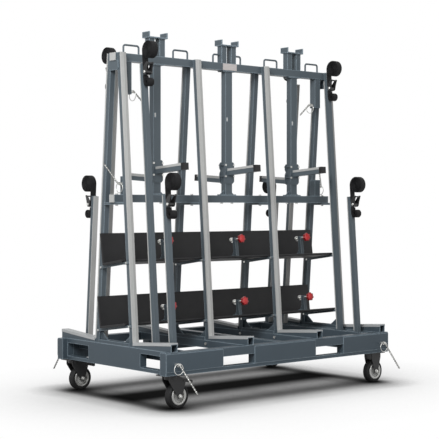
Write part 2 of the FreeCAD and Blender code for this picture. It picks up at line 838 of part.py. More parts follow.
def make_rigid_fork():
    """Front right rigid caster bracket: plate, two tapering cheeks and the axle."""
    low = sill_bottom - caster_plate_thickness
    half_x = caster_plate_x / 2.0
    half_y = caster_plate_y / 2.0
    plate = block(caster_x - half_x, caster_x + half_x, -caster_y - half_y, -caster_y + half_y, low,
                  sill_bottom)
    outline = [(-36.0, low), (36.0, low), (36.0, low - 24.0), (13.0, wheel_radius - 4.0),
               (6.0, wheel_radius - 13.0),
               (-6.0, wheel_radius - 13.0), (-13.0, wheel_radius - 4.0), (-36.0, low - 24.0)]
    cheek = side_prism([(caster_x + a, z) for a, z in outline], fork_gap / 2.0, fork_gap / 2.0 + fork_plate)
    body = plate
    for side in (-1, 1):
        place = cheek.copy() if side > 0 else mirror_y(cheek)
        place.translate(Vector(0, -caster_y, 0))
        body = body.fuse(place)
    reach = fork_gap / 2.0 + fork_plate + 4.0
    axle = rod(Vector(caster_x, -caster_y - reach, wheel_radius),
               Vector(caster_x, -caster_y + reach, wheel_radius),
               axle_radius)
    return body.fuse(axle).removeSplitter()


def turned(points, x, y):
    """Solid of revolution about a wheel's axle from (radius, offset) points."""
    outline = [Vector(x + r, y + offset, wheel_radius) for r, offset in points]
    face = Part.Face(Part.makePolygon(outline + outline[:1]))
    return face.revolve(Vector(x, y, wheel_radius), Vector(0, 1, 0), 360)


def make_tyre(x, y):
    """Rubber tread with bevelled shoulders."""
    half = tyre_width / 2.0
    bore = rim_radius + tyre_fit
    return turned([(bore, -half), (wheel_radius - 7.0, -half), (wheel_radius, -half + 6.0),
                   (wheel_radius, half - 6.0),
                   (wheel_radius - 7.0, half), (bore, half)], x, y)


def make_hub(x, y):
    """Wheel centre with a boss at each side."""
    half = tyre_width / 2.0
    bore = axle_radius + running_fit
    return turned([(bore, -hub_half), (15.0, -hub_half), (15.0, -half + 6.0), (30.0, -half + 6.0),
                   (33.0, -half),
                   (rim_radius, -half), (rim_radius, half), (33.0, half), (30.0, half - 6.0),
                   (15.0, half - 6.0),
                   (15.0, hub_half), (bore, hub_half)], x, y)


def make_pole(length):
    """Upright pole: tube and pale facing on its inner side, drawn at the deck."""
    half = pole_size / 2.0
    tube = block(-half, half, -half, half, -rail_height, length)
    tube = tube.cut(block(-half + pole_wall, half - pole_wall, -half + pole_wall, half - pole_wall,
                          -rail_height, length))
    outer = block(-half - pole_facing_side, half + pole_facing_side, half - pole_facing_wrap,
                  half + pole_facing,
                  8.0, length)
    facing = outer.cut(block(-half, half, half - pole_facing_wrap, half, 8.0, length))
    return tube, facing


def place_pole(piece, x, distance, side):
    """Lean an upright piece and stand it in the rail on its side of the cart."""
    piece = lean_in(piece.copy(), x, -distance)
    return piece if side < 0 else mirror_y(piece)


def make_pole_set(x, distance, side, top):
    """Tube, facing and sliding shoe of one pole."""
    tube, facing = make_pole((top - deck) / lean_cos)
    low = rail_bottom + rail_wall + pole_rail_gap
    half = rail_width / 2.0 - rail_wall - shoe_side_gap
    centre = side * (distance + (deck - low) * slope)
    shoe = block(x - half, x + half, centre - shoe_length / 2.0, centre + shoe_length / 2.0, low,
                 low + shoe_height)
    tube = place_pole(tube, x, distance, side)
    tube = tube.common(block(x - rail_width, x + rail_width, -base_width, base_width, low + shoe_height,
                             top + leg_size))
    return [tube, place_pole(facing, x, distance, side), shoe]


def wound_band(centre_y, centre_z, radius, turns, run_end):
    """Doubled webbing: a straight run, then turns whose radius shrinks by one pitch each time round."""
    middle = radius - web_thickness / 2.0
    half = web_thickness / 2.0
    outer = [(centre_y + middle + half, run_end)]
    inner = [(centre_y + middle - half, run_end)]
    flip = 1.0 if run_end < centre_z else -1.0
    for k in range(turns * turn_sides + 1):
        turn = 2.0 * math.pi * k / turn_sides
        reach = middle - web_pitch * k / turn_sides
        outer.append((centre_y + (reach + half) * math.cos(turn),
                      centre_z + flip * (reach + half) * math.sin(turn)))
        inner.append((centre_y + (reach - half) * math.cos(turn),
                      centre_z + flip * (reach - half) * math.sin(turn)))
    return prism(outer + inner[::-1], -web_width / 2.0, web_width / 2.0)


def make_strap(length):
    """Long roll above the pole, ratchet on the outer face, short roll below; drawn upright at the deck."""
    face = -pole_size / 2.0 - web_stand
    big = wound_band(face - roll_radius, length + roll_rise, roll_radius, roll_turns, length - 30.0)
    small = wound_band(face - small_roll_radius, length - small_roll_drop, small_roll_radius,
                       small_roll_turns,
                       length - 62.0)
    back = face - web_thickness
    spindle_y = back - 14.0
    spindle_z = length - ratchet_drop
    wing = [(back, length - 60.0), (back, length - 24.0), (back - 30.0, length + 2.0),
            (back - 42.0, length - 2.0),
            (back - 36.0, length - 16.0), (back - 26.0, length - 44.0), (back - 18.0, length - 60.0)]
    solids = [big, small]
    for side in (-1, 1):
        ends = sorted((side * ratchet_half, side * (ratchet_half - ratchet_plate)))
        solids.append(prism(wing, ends[0], ends[1]))
    inside = ratchet_half - ratchet_plate
    solids.append(rod(Vector(-inside, spindle_y, spindle_z), Vector(inside, spindle_y, spindle_z),
                      ratchet_spindle))
    solids.append(block(-inside, inside, back - 40.0, back - 32.0, length - 8.0, length - 2.0))
    base = block(-inside, inside, back - 2.5, back, length - 60.0, length - 26.0)
    lug = block(-inside, inside, back, -pole_size / 2.0, length - 46.0, length - 34.0)
    solids.append(base.fuse(lug))
    return solids


def least_turn_gap():
    """Smallest space between neighbouring turns of the webbing, measured on its corner points."""
    return (web_pitch - web_thickness) * math.cos(math.pi / turn_sides)


os.makedirs("parts", exist_ok=True)

sill = make_sill()
sill_end = make_sill_end()
panels = make_panels() + [sill_end, mirror_x(sill_end)]
write("long_sills", [sill, mirror_y(sill)] + panels + [mirror_y(item) for item in panels])
end_beam = make_end_beam()
write("end_beams", [end_beam, mirror_x(end_beam)])
cross = [make_cross_member(x) for x in (stations[1], 0.0, stations[2])]
write("cross_members", cross + [make_foot_tie(x) for x in stations])
write("pole_rails", [make_pole_rail(-rail_x), make_pole_rail(rail_x)])

ledges = [make_ledge(x) for x in stations]
write("ledge_beams", ledges + [mirror_y(item) for item in ledges])
strips = [make_ledge_strip(x) for x in stations]
write("ledge_strips", strips + [mirror_y(item) for item in strips])
legs = [make_leg(x) for x in stations]
write("legs", legs + [mirror_y(item) for item in legs])
facings = [make_leg_facing(x) for x in stations]
write("leg_facings", facings + [mirror_y(item) for item in facings])
gussets = [make_foot_gusset(x) for x in stations]
plates = [make_top_plate(stations[0], -1), make_top_plate(stations[3], 1)]
write("leg_gussets", gussets + [mirror_y(item) for item in gussets] + plates)

ridge_half = stations[3] + ridge_overhang
mid_half = stations[3] + mid_rail_overhang
write("ridge_beam", [make_square_rail(ridge_half, ridge_width / 2.0, ridge_bottom, ridge_top)])
write("mid_rail", [make_square_rail(mid_half, mid_rail_size / 2.0, mid_rail_bottom, mid_rail_top)])
caps = [make_end_cap(ridge_half, ridge_width / 2.0, ridge_bottom, ridge_top),
        make_end_cap(mid_half, mid_rail_size / 2.0, mid_rail_bottom, mid_rail_top)]
write("end_caps", caps + [mirror_x(item) for item in caps])
tray_levels = (tray_upper_z, tray_lower_z)
bars = [make_tray_bar(x, level) for x in stations for level in tray_levels]
write("cross_rungs", [make_mid_rung(x) for x in stations] + bars)
write("tray_shelves", [make_shelf(level) for level in tray_levels])
write("tray_boards", [make_board(level) for level in tray_levels])
clamp_places = [-clamp_pitch, 0.0, clamp_pitch]
write("clamp_posts", [make_clamp_post(x, level) for level in tray_levels for x in clamp_places])

write("masts", [make_mast(x) for x in mast_places])
heads = []
for x in mast_places:
    heads += make_head(x)
write("mast_heads", heads)
half_bow = make_half_handle()
loops = [make_handle(x) for x in (-handle_outer_x, -handle_inner_x, handle_inner_x, handle_outer_x)]
write("ridge_handles", loops + [half_bow, mirror_x(half_bow)])

hanging = make_socket(ridge_bottom - socket_drop, ridge_bottom)
standing = make_socket(mid_rail_top, mid_rail_top + socket_stand)
write("accessory_sockets", [hanging, mirror_x(hanging), standing, mirror_x(standing)])
corner_seat = Vector(-sill_length / 2.0 + corner_pin_setback, -half_width, corner_pin_z)
corner_pin = make_lock_pin(corner_seat, Vector(0, -1, 0), Vector(0, 0, -1), Vector(14.0, -118.0, -128.0))
ridge_seat = Vector(-socket_x + socket_size / 2.0, 0, ridge_bottom - socket_drop + 16.0)
ridge_pin = make_lock_pin(ridge_seat, Vector(1, 0, 0), Vector(0, 0, -1), Vector(72.0, 0, -62.0))
mid_seat = Vector(-socket_x - socket_size / 2.0, 0, mid_rail_top + 56.0)
mid_pin = make_lock_pin(mid_seat, Vector(-1, 0, 0), Vector(0, 0, -1), Vector(-44.0, 60.0, 102.0))
pins = []
for pin in corner_pin + [mirror_y(item) for item in corner_pin] + ridge_pin + mid_pin:
    pins += [pin, mirror_x(pin)]
write("lock_pins", pins)

swivel_plate = make_caster_plate()
rigid = make_rigid_fork()
write("caster_brackets", [swivel_plate, mirror_y(swivel_plate), rigid, mirror_y(rigid)])
fork = make_swivel_fork()
pedal = make_pedal()
write("swivel_fork_front", [fork])
write("swivel_fork_rear", [mirror_y(fork)])
write("brake_pedal_front", [pedal])
write("brake_pedal_rear", [mirror_y(pedal)])
for place, wheel_x, wheel_y in (("front_left", swivel_trail - caster_x, -caster_y),
                                ("rear_left", swivel_trail - caster_x, caster_y),
                                ("front_right", caster_x, -caster_y), ("rear_right", caster_x, caster_y)):
    write("tyre_" + place, [make_tyre(wheel_x, wheel_y)])
    write("hub_" + place, [make_hub(wheel_x, wheel_y)])

pole_places = (("front_left_tall", -rail_x, tall_front_left, -1, tall_pole_top),
               ("front_right_tall", rail_x, tall_front_right, -1, tall_pole_top),
               ("rear_left_tall", -rail_x, tall_rear_left, 1, tall_pole_top),
               ("rear_right_tall", rail_x, tall_rear_right, 1, tall_pole_top),
               ("front_left_short", -rail_x, short_front_left, -1, short_pole_top),
               ("front_right_short", rail_x, short_front_right, -1, short_pole_top),
               ("rear_left_short", -rail_x, short_rear_left, 1, short_pole_top),
               ("rear_right_short", rail_x, short_rear_right, 1, short_pole_top))
for place, x, distance, side, top in pole_places:
    write("pole_" + place, make_pole_set(x, distance, side, top))
    straps = make_strap((top - deck) / lean_cos)
    write("strap_" + place, [place_pole(item, x, distance, side) for item in straps])
print("least gap between webbing turns, mm:", round(least_turn_gap(), 3))

for place, x in zip(("left", "centre", "right"), mast_places):
    write("arms_" + place, make_arm_set(x))
for tier, level in (("upper", tray_upper_z), ("lower", tray_lower_z)):
    for place, x in zip(("left", "centre", "right"), clamp_places):
        write("clamp_%s_%s" % (tier, place), make_clamp_screw(x, level))

bolts = []
for x in stations:
    for side in (-1, 1):
        face = x + side * beam_width / 2.0
        outward = Vector(side, 0, 0)
        for y in (-1, 1):
            if abs(x) < stations[3]:
                bolts.append(hexagon(Vector(face, y * (foot_half_spread - 22.0), cross_bottom + 22.0),
                                     outward,
                                     bolt_head, bolt_head_height))
    bar_face = x - leg_size / 2.0 - tray_bar_thickness
    for level in tray_levels:
        for y in (-1, 1):
            reach = leg_inner(level + 30.0) + 8.0
            bar_y, bar_z = on_tray((tray_corner(level) - y * reach) / tray_cos,
                                   -shelf_thickness - tray_bar_height / 2.0, level)
            bolts.append(hexagon(Vector(bar_face, bar_y, bar_z), Vector(-1, 0, 0), 10.0, 4.0))
    bolts.append(hexagon(Vector(x, 0, mid_rail_bottom - rung_thickness), Vector(0, 0, -1), bolt_head,
                         bolt_head_height))
    bolts.append(hexagon(Vector(x, 0, mid_rail_top), Vector(0, 0, 1), bolt_head, bolt_head_height))
for x in mast_places:
    for side in (-1, 1):
        bolts.append(hexagon(Vector(x + side * 38.0, 0, mid_rail_bottom), Vector(0, 0, -1), bolt_head,
                             bolt_head_height))
ridge_middle = (ridge_bottom + ridge_top) / 2.0
bare_plate = block(-bare_plate_width / 2.0, bare_plate_width / 2.0, -ridge_width / 2.0 - bare_plate_thickness,
                   -ridge_width / 2.0, ridge_middle - bare_plate_height / 2.0,
                   ridge_middle + bare_plate_height / 2.0)
write("frame_bolts", bolts + [bare_plate])
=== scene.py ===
import math
from collections import namedtuple

import bpy
import numpy as np
from bpy.props import FloatProperty, FloatVectorProperty, IntProperty, PointerProperty
from mathutils import Euler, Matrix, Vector


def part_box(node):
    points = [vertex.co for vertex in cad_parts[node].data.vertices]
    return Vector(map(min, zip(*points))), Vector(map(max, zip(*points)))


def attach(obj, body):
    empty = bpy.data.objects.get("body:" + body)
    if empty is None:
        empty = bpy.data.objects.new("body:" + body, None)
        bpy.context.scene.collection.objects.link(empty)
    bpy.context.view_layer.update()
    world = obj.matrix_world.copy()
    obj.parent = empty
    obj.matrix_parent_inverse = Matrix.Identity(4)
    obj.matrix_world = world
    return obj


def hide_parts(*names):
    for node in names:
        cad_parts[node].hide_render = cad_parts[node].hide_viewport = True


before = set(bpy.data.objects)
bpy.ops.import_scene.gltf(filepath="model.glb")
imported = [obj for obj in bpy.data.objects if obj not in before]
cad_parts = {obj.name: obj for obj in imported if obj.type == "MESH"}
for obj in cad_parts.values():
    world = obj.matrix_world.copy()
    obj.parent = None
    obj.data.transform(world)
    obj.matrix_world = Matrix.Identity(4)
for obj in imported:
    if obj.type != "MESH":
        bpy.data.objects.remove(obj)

bl_info = {
    "name": "Slab A-frame cart",
    "version": (1, 0, 0),
    "blender": (4, 5, 0),
    "location": "View3D > Sidebar > Cart",
    "description": "Finishes, wound straps, ratchets, wheel fittings and studio for the slab A-frame cart",
    "category": "Object",
}

FULL_TURN = 2.0 * math.pi
WHITE = (1.0, 1.0, 1.0, 1.0)
# What all colour settings have in common.
COLOUR = {"subtype": "COLOR", "size": 3, "min": 0.0, "max": 1.0}

# Masts, arms and clamp screws stand one bay apart along the ridge, the legs half a bay beside them.
BAY = 0.5
MASTS = {"left": -BAY, "centre": 0.0, "right": BAY}

# A pole's name says its side of the middle plane, its end of the ridge and its top.
POLE_SIDES = {"front": -1, "rear": 1}
POLE_ENDS = {"left": -0.670, "right": 0.670}
POLE_TOPS = {"tall": 1.722, "short": 1.050}
# Distance from the middle plane to the foot of every pole, at the deck.
POLE_FEET = {
    "front_left_tall": 0.230,
    "front_right_tall": 0.226,
    "rear_left_tall": 0.228,
    "rear_right_tall": 0.244,
    "front_left_short": 0.368,
    "front_right_short": 0.362,
    "rear_left_short": 0.366,
    "rear_right_short": 0.376,
}
Pole = namedtuple("Pole", "name x foot side top")

# Start and run of the stiff wire of each kind of lock pin on the left, and whether the rear has one too.
PIN_WIRES = (
    ((-0.740, -0.506, 0.224), (0.014, -0.118, -0.128), True),
    ((-0.639, 0.0, 1.589), (0.072, 0.0, -0.062), False),
    ((-0.741, 0.0, 1.111), (-0.044, 0.060, 0.102), False),
)

# Name of every wheel and the body that carries its fork.
WHEELS = {
    "front_left": "caster_front_left",
    "rear_left": "caster_rear_left",
    "front_right": "frame",
    "rear_right": "frame",
}

# Fineness of the meshes: steps to a turn and to a straight run of webbing, points round half its edge,
# steps to a twist of wire and points round a strand.
TURN_STEPS = 56
RUN_STEPS = 14
EDGE_POINTS = 5
TWIST_STEPS = 14
STRAND_SIDES = 8


class Field:
    """A shader socket that can be used in plain arithmetic."""

    def __init__(self, tree, socket):
        self.tree = tree
        self.socket = socket

    @classmethod
    def node(cls, tree, kind, inputs, output=0, **settings):
        """Add any node: set its properties, then feed its inputs, and wrap one output."""
        made = tree.nodes.new(kind)
        for key, value in settings.items():
            setattr(made, key, value)
        for key, value in inputs.items():
            if isinstance(value, Field):
                tree.links.new(value.socket, made.inputs[key])
            else:
                made.inputs[key].default_value = value
        return cls(tree, made.outputs[output])

    def math(self, operation, other=0.0):
        """One scalar operation with another field or number."""
        return self.node(self.tree, "ShaderNodeMath", {0: self, 1: other}, operation=operation)

    def __add__(self, other):
        return self.math("ADD", other)

    __radd__ = __add__

    def __mul__(self, other):
        return self.math("MULTIPLY", other)

    __rmul__ = __mul__

    def __sub__(self, other):
        return self.math("SUBTRACT", other)

    def __rsub__(self, other):
        return -self + other

    def __neg__(self):
        return self * -1.0

    def __pow__(self, other):
        return self.math("POWER", other)

    def __gt__(self, other):
        return self.math("GREATER_THAN", other)

    def __lt__(self, other):
        return self.math("LESS_THAN", other)

    def __abs__(self):
        return self.math("ABSOLUTE")

    def either(self, other):
        """The larger of two masks."""
        return self.math("MAXIMUM", other)

    def ramp(self, start, end):
        """Smooth step from 0 at one value to 1 at another."""
        sockets = {"Value": self, "From Min": start, "From Max": end}
        return self.node(self.tree, "ShaderNodeMapRange", sockets, interpolation_type="SMOOTHSTEP")

    def mix(self, low, high):
        """Colour that runs from low to high as the field runs from 0 to 1."""
        return self.node(self.tree, "ShaderNodeMix", {0: self, 6: low, 7: high}, output=2, data_type="RGBA")


class Surface:
    """A principled material with its coordinates at hand."""

    def __init__(self, name, coordinates="Object"):
        self.material = bpy.data.materials.new(name)
        self.material.use_nodes = True
        self.tree = self.material.node_tree
        self.shader = self.tree.nodes["Principled BSDF"]
        self.place = Field.node(self.tree, "ShaderNodeTexCoord", {}, coordinates)
        self.x, self.y, self.z = (Field.node(self.tree, "ShaderNodeSeparateXYZ", {0: self.place}, axis)
                                  for axis in range(3))

    def noise(self, scale, detail=2.0, stretch=(1.0, 1.0, 1.0)):
        """Noise between 0 and 1 with so many cells to the metre, drawn out where stretch is small."""
        place = Field.node(self.tree, "ShaderNodeMapping", {"Vector": self.place, "Scale": stretch})
        sockets = {"Vector": place, "Scale": scale, "Detail": detail}
        return Field.node(self.tree, "ShaderNodeTexNoise", sockets)

    def set(self, socket, value):
        """Feed a field or a constant to one input of the shader."""
        if isinstance(value, Field):
            self.tree.links.new(value.socket, self.shader.inputs[socket])
        else:
            self.shader.inputs[socket].default_value = value

    def rough(self, low, spread, scale):
        """Roughness that wanders by noise from a low value up by a spread."""
        self.set("Roughness", self.noise(scale) * spread + low)

    def bump(self, height, strength, distance):
        """Raise the surface by a height field."""
        sockets = {"Height": height, "Strength": strength, "Distance": distance}
        self.set("Normal", Field.node(self.tree, "ShaderNodeBump", sockets))

    def drift(self, base, share, scale=3.0):
        """Base colour that wanders by a share of itself over the surface."""
        return self.noise(scale).mix(colour(base, 1.0 - share), colour(base, 1.0 + share))

    def edges(self, radius):
        """How far a softened normal turns from the true one: 0 on flats, rising to 1 at hard edges."""
        soft = Field.node(self.tree, "ShaderNodeBevel", {"Radius": radius}, samples=6)
        flat = Field.node(self.tree, "ShaderNodeNewGeometry", {}, "Normal")
        turn = Field.node(self.tree, "ShaderNodeVectorMath", {0: soft, 1: flat}, "Value",
                          operation="DOT_PRODUCT")
        return (1.0 - turn).ramp(0.01, 0.16)

    def worn_and_highlit_edges(self, radius, least):
        """Hard edges rubbed in patches, which also carry painted highlights: noise from a least share of
        rubbing upwards.
        """
        return self.edges(radius) * (self.noise(22.0) * 0.7 + least)

    def from_axle(self, centre):
        """Distance from a line along Y through a centre."""
        across = self.x - centre[0]
        up = self.z - centre[2]
        return (across * across + up * up).math("SQRT")


def colour(values, share=1.0):
    """Colour with full alpha, brightened or darkened by a share."""
    return (values[0] * share, values[1] * share, values[2] * share, 1.0)


def fitting(name, base, share, cells, metallic, low, grain):
    """Finish of a small fitting: colour that wanders by a share, cells to the metre, and a fine grain."""
    surface = Surface(name)
    surface.set("Base Color", surface.drift(base, share, cells))
    surface.set("Metallic", metallic)
    surface.rough(low, spread=0.15, scale=grain)
    return surface


def middle(node):
    """Centre of a node's box at rest."""
    low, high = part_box(node)
    return [(a + b) / 2.0 for a, b in zip(low, high)]


def dress(names, surface):
    """Give CAD nodes a finish."""
    for name in names:
        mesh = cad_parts[name].data
        mesh.materials.clear()
        mesh.materials.append(surface.material)


def skin(rings):
    """Closed surface over rings of points: quads between neighbouring rings and one flat face on each end.

    Where the last ring repeats the first, the surface closes on itself like a hoop and has no ends.
    The sign of the volume, the sum of the faces' triple products, says whether the faces look
    outwards; where it is negative they are all turned round.
    """
    hoop = np.allclose(rings[0], rings[-1])
    if hoop:
        rings = rings[:-1]
    rows, columns = rings.shape[:2]
    points = rings.reshape(-1, 3)
    i, j = np.meshgrid(np.arange(rows if hoop else rows - 1), np.arange(columns), indexing="ij")
    next_i = (i + 1) % rows
    next_j = (j + 1) % columns
    corners = (i * columns + j, i * columns + next_j, next_i * columns + next_j, next_i * columns + j)
    quads = np.stack(corners, axis=-1).reshape(-1, 4)
    first = np.arange(columns)[::-1]
    last = np.arange(columns) + (rows - 1) * columns
    ends = [] if hoop else [first, last]
    fans = [np.stack([np.full(columns - 2, end[0]), end[1:-1], end[2:]], axis=1) for end in ends]
    triangles = np.concatenate([quads[:, :3], quads[:, [0, 2, 3]]] + fans)
    a, b, c = (points[triangles[:, corner]] for corner in range(3))
    if np.einsum("ij,ij->", a, np.cross(b, c)) < 0.0:
        quads = quads[:, ::-1]
        ends = [end[::-1] for end in ends]
    return points, quads, ends


def new_piece(name, shells, surface, body, uv=None):
    """Mesh object over several sets of rings, riding on a body; uv has one pair for each point."""
    points, faces, start = [], [], 0
    for rings in shells:
        spots, quads, ends = skin(rings)
        points.append(spots)
        faces += (quads + start).tolist() + [(end + start).tolist() for end in ends]
        start += len(spots)
    mesh = bpy.data.meshes.new(name)
    mesh.from_pydata(np.concatenate(points).tolist(), [], faces)
    if uv is not None:
        layer = mesh.uv_layers.new(name="strap")
        corner = np.empty(len(mesh.loops), dtype=np.int32)
        mesh.loops.foreach_get("vertex_index", corner)
        layer.data.foreach_set("uv", uv[corner].astype(np.float32).ravel())
    mesh.update()
    mesh.materials.append(surface.material)
    obj = bpy.data.objects.new(name, mesh)
    bpy.context.scene.collection.objects.link(obj)
    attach(obj, body)
    return obj


def list_poles():
    """Every pole with its place along the ridge, foot, side and top."""
    poles = []
    for name, foot in POLE_FEET.items():
        side, end, size = name.split("_")
        poles.append(Pole(name, POLE_ENDS[end], foot, POLE_SIDES[side], POLE_TOPS[size]))
    return poles


def on_pole(rings, pole, settings):
    """Carry rings drawn upright at the deck to a pole: lean about X, move out, mirror on the rear."""
    c, s = math.cos(settings.lean), math.sin(settings.lean)
    out = np.empty_like(rings)
    out[..., 0] = rings[..., 0] + pole.x
    out[..., 1] = -pole.side * (-pole.foot + rings[..., 1] * c + rings[..., 2] * s)
    out[..., 2] = settings.deck - rings[..., 1] * s + rings[..., 2] * c
    return out


def pole_length(pole, settings):
    """Length of a pole along itself from the deck to its top."""
    return (pole.top - settings.deck) / math.cos(settings.lean)


def on_axle(rings, axle, side):
    """Carry rings drawn round X to a wheel's axle, which lies along Y, on its near or far side."""
    out = np.empty_like(rings)
    out[..., 0] = rings[..., 2] + axle[0]
    out[..., 1] = rings[..., 0] * side + axle[1]
    out[..., 2] = rings[..., 1] + axle[2]
    return out


def spiral(centre, radius, pitch, turns, run_end):
    """Path of a wound strap: a straight run to the roll, then a radius that falls by one pitch each turn."""
    angle = np.linspace(0.0, turns * FULL_TURN, turns * TURN_STEPS + 1)
    reach = radius - pitch * angle / FULL_TURN
    flip = 1.0 if run_end < centre[1] else -1.0
    coil = np.stack([centre[0] + reach * np.cos(angle), centre[1] + flip * reach * np.sin(angle)], axis=1)
    height = np.linspace(run_end, centre[1], RUN_STEPS + 1)[:-1]
    run = np.stack([np.full(RUN_STEPS, centre[0] + radius), height], axis=1)
    return np.concatenate([run, coil])


def band(path, thickness, width, layer):
    """Rings of a flat band: an oblong section with rounded edges, carried along the normals of a (y, z) path.

    Also gives each point's place on the webbing: distance along the path and across the width.
    """
    ahead = np.gradient(path, axis=0)
    ahead /= np.linalg.norm(ahead, axis=1)[:, None]
    normal = np.stack([ahead[:, 1], -ahead[:, 0]], axis=1)
    along = np.concatenate([[0.0], np.cumsum(np.linalg.norm(np.diff(path, axis=0), axis=1))])
    t, w = thickness / 2.0, width / 2.0
    edge = np.linspace(0.0, math.pi, EDGE_POINTS)
    half = np.stack([t * np.cos(edge), t * np.sin(edge) + w - t], axis=1)
    section = np.concatenate([half, -half])
    rings = np.empty((len(path), len(section), 3))
    across = section[None, :, 0] + layer
    rings[..., 0] = section[None, :, 1]
    rings[..., 1] = path[:, None, 0] + normal[:, None, 0] * across
    rings[..., 2] = path[:, None, 1] + normal[:, None, 1] * across
    place = np.empty((len(path), len(section), 2))
    place[..., 0] = along[:, None]
    place[..., 1] = section[None, :, 1]
    return rings, place.reshape(-1, 2)


def plate(outline, x0, x1):
    """Rings of a flat plate: an outline of (y, z) points at two places along X."""
    flat = np.array(outline)
    rings = np.empty((2, len(flat), 3))
    rings[..., 0] = np.array([[x0], [x1]])
    rings[..., 1:] = flat[None]
    return rings


def turned(profile, sides):
    """Rings of a turned piece: (x, radius) points swept round the X axis."""
    steps = np.array(profile)
    angle = np.arange(sides) * FULL_TURN / sides
    rings = np.empty((len(steps), sides, 3))
    rings[..., 0] = steps[:, :1]
    rings[..., 1] = steps[:, 1:] * np.cos(angle)
    rings[..., 2] = steps[:, 1:] * np.sin(angle)
    return rings


def cut_back(start, end, radius, slope, cut):
    """Profile of a disc or shank: one radius from start on, which falls by a cut over a last slope."""
    return [(start, radius), (end - slope, radius), (end, radius - cut)]


def strand(start, run, settings, phase):
    """Rings of one strand twisted round a straight wire: its centre turns about the wire once every pitch.

    The wire is bare for a short length at its start.
    """
    begin, run = np.array(start), np.array(run)
    offset, pitch = settings.strand_offset, settings.strand_pitch
    bare = 0.004
    length = np.linalg.norm(run)
    ahead = run / length
    aside = np.cross(ahead, (0.0, 1.0, 0.0) if abs(ahead[1]) < 0.5 else (1.0, 0.0, 0.0))
    aside /= np.linalg.norm(aside)
    over = np.cross(ahead, aside)
    along = np.linspace(bare, length, int(length / pitch * TWIST_STEPS))[:, None]
    turn = along * FULL_TURN / pitch + phase
    out = aside * np.cos(turn) + over * np.sin(turn)
    centre = begin + ahead * along + out * offset
    tangent = ahead + (over * np.cos(turn) - aside * np.sin(turn)) * (offset * FULL_TURN / pitch)
    tangent /= np.linalg.norm(tangent, axis=1)[:, None]
    third = np.cross(tangent, out)
    angle = (np.arange(STRAND_SIDES) * FULL_TURN / STRAND_SIDES)[None, :, None]
    round_about = out[:, None] * np.cos(angle) + third[:, None] * np.sin(angle)
    return centre[:, None] + settings.strand_radius * round_about


class CartPaintSettings(bpy.types.PropertyGroup):
    """Colours of the cart's finishes."""

    paint: FloatVectorProperty(
        name="Paint", description="Blue-grey powder coat of the frame",
        default=(0.096, 0.120, 0.138), **COLOUR)
    shine: FloatProperty(
        name="Shine", description="Specular level of the powder coat", default=0.25, subtype="FACTOR")
    # Painted shade: a tint that darkens the paint towards the floor, fading out between the two heights
    # below.
    shade_tint: FloatVectorProperty(
        name="Painted shade", description="Tint that dulls the paint near the floor",
        default=(0.62, 0.68, 0.73), **COLOUR)
    shade_low: FloatProperty(
        name="Grime low", description="Height up to which the paint is dull", default=0.24, unit="LENGTH")
    shade_high: FloatProperty(
        name="Grime high", description="Height from which the paint is clean", default=0.44, unit="LENGTH")
    facing: FloatVectorProperty(
        name="Facing", description="Pale plastic of leg, pole and arm facings",
        default=(0.50, 0.505, 0.495), **COLOUR)
    strip: FloatVectorProperty(
        name="Strip", description="Grey plastic of the ledge strips, rubbed by slabs",
        default=(0.44, 0.455, 0.46), **COLOUR)
    black: FloatVectorProperty(
        name="Black", description="Boards, ratchets and caster steel",
        default=(0.016, 0.016, 0.017), **COLOUR)
    zinc: FloatVectorProperty(
        name="Zinc", description="Bright plated fasteners",
        default=(0.62, 0.62, 0.60), **COLOUR)
    plate_dark: FloatVectorProperty(
        name="Plate dark", description="Dark brush marks of the bare plate on the ridge",
        default=(0.40, 0.37, 0.36), **COLOUR)
    plate_light: FloatVectorProperty(
        name="Plate light", description="Light brush marks of the bare plate on the ridge",
        default=(0.60, 0.57, 0.56), **COLOUR)
    hub: FloatVectorProperty(
        name="Hub", description="Grey wheel centres",
        default=(0.30, 0.30, 0.295), **COLOUR)
    ring: FloatVectorProperty(
        name="Ring", description="Pressed steel rings on the tyres",
        default=(0.42, 0.42, 0.41), **COLOUR)
    rubber: FloatVectorProperty(
        name="Rubber", description="Dark tyres",
        default=(0.012, 0.012, 0.0125), **COLOUR)
    wire: FloatVectorProperty(
        name="Wire", description="Dull plated wires of the lock pins",
        default=(0.25, 0.25, 0.24), **COLOUR)
    tongue: FloatVectorProperty(
        name="Tongue", description="Pale spring tongues in the mast slots",
        default=(0.66, 0.66, 0.65), **COLOUR)
    # Painted shade in the weave's hollows and painted sheen on its crowns.
    web_dark: FloatVectorProperty(
        name="Web dark", description="Hollows of the black weave",
        default=(0.008, 0.008, 0.009), **COLOUR)
    web_light: FloatVectorProperty(
        name="Web light", description="Crowns of the black weave",
        default=(0.022, 0.022, 0.023), **COLOUR)
    knob: FloatVectorProperty(
        name="Knob", description="Red clamp knobs",
        default=(0.53, 0.011, 0.014), **COLOUR)


class CartFittingSettings(bpy.types.PropertyGroup):
    """Sizes of the small fittings on wheels and lock pins."""

    cheek: FloatProperty(
        name="Cheek", description="Outer face of a wheel fork from the wheel's middle",
        default=0.0290, unit="LENGTH")
    washer: FloatProperty(
        name="Washer", description="Radius of the washers on the wheel axles", default=0.0105, unit="LENGTH")
    nut: FloatProperty(
        name="Nut", description="Radius of the wheel nuts over corners", default=0.0090, unit="LENGTH")
    thread: FloatProperty(
        name="Thread", description="Radius of the axles' thread ends", default=0.0052, unit="LENGTH")
    ring_inner: FloatProperty(
        name="Ring inner", description="Inner radius of a ring on a tyre", default=0.0368, unit="LENGTH")
    ring_outer: FloatProperty(
        name="Ring outer", description="Outer radius of a ring on a tyre", default=0.0456, unit="LENGTH")
    strand_offset: FloatProperty(
        name="Strand offset", description="Centre of a strand from the wire", default=0.0028, unit="LENGTH")
    strand_radius: FloatProperty(
        name="Strand radius", description="Radius of a strand", default=0.0023, unit="LENGTH")
    strand_pitch: FloatProperty(
        name="Strand pitch", description="Length of one twist", default=0.030, unit="LENGTH")


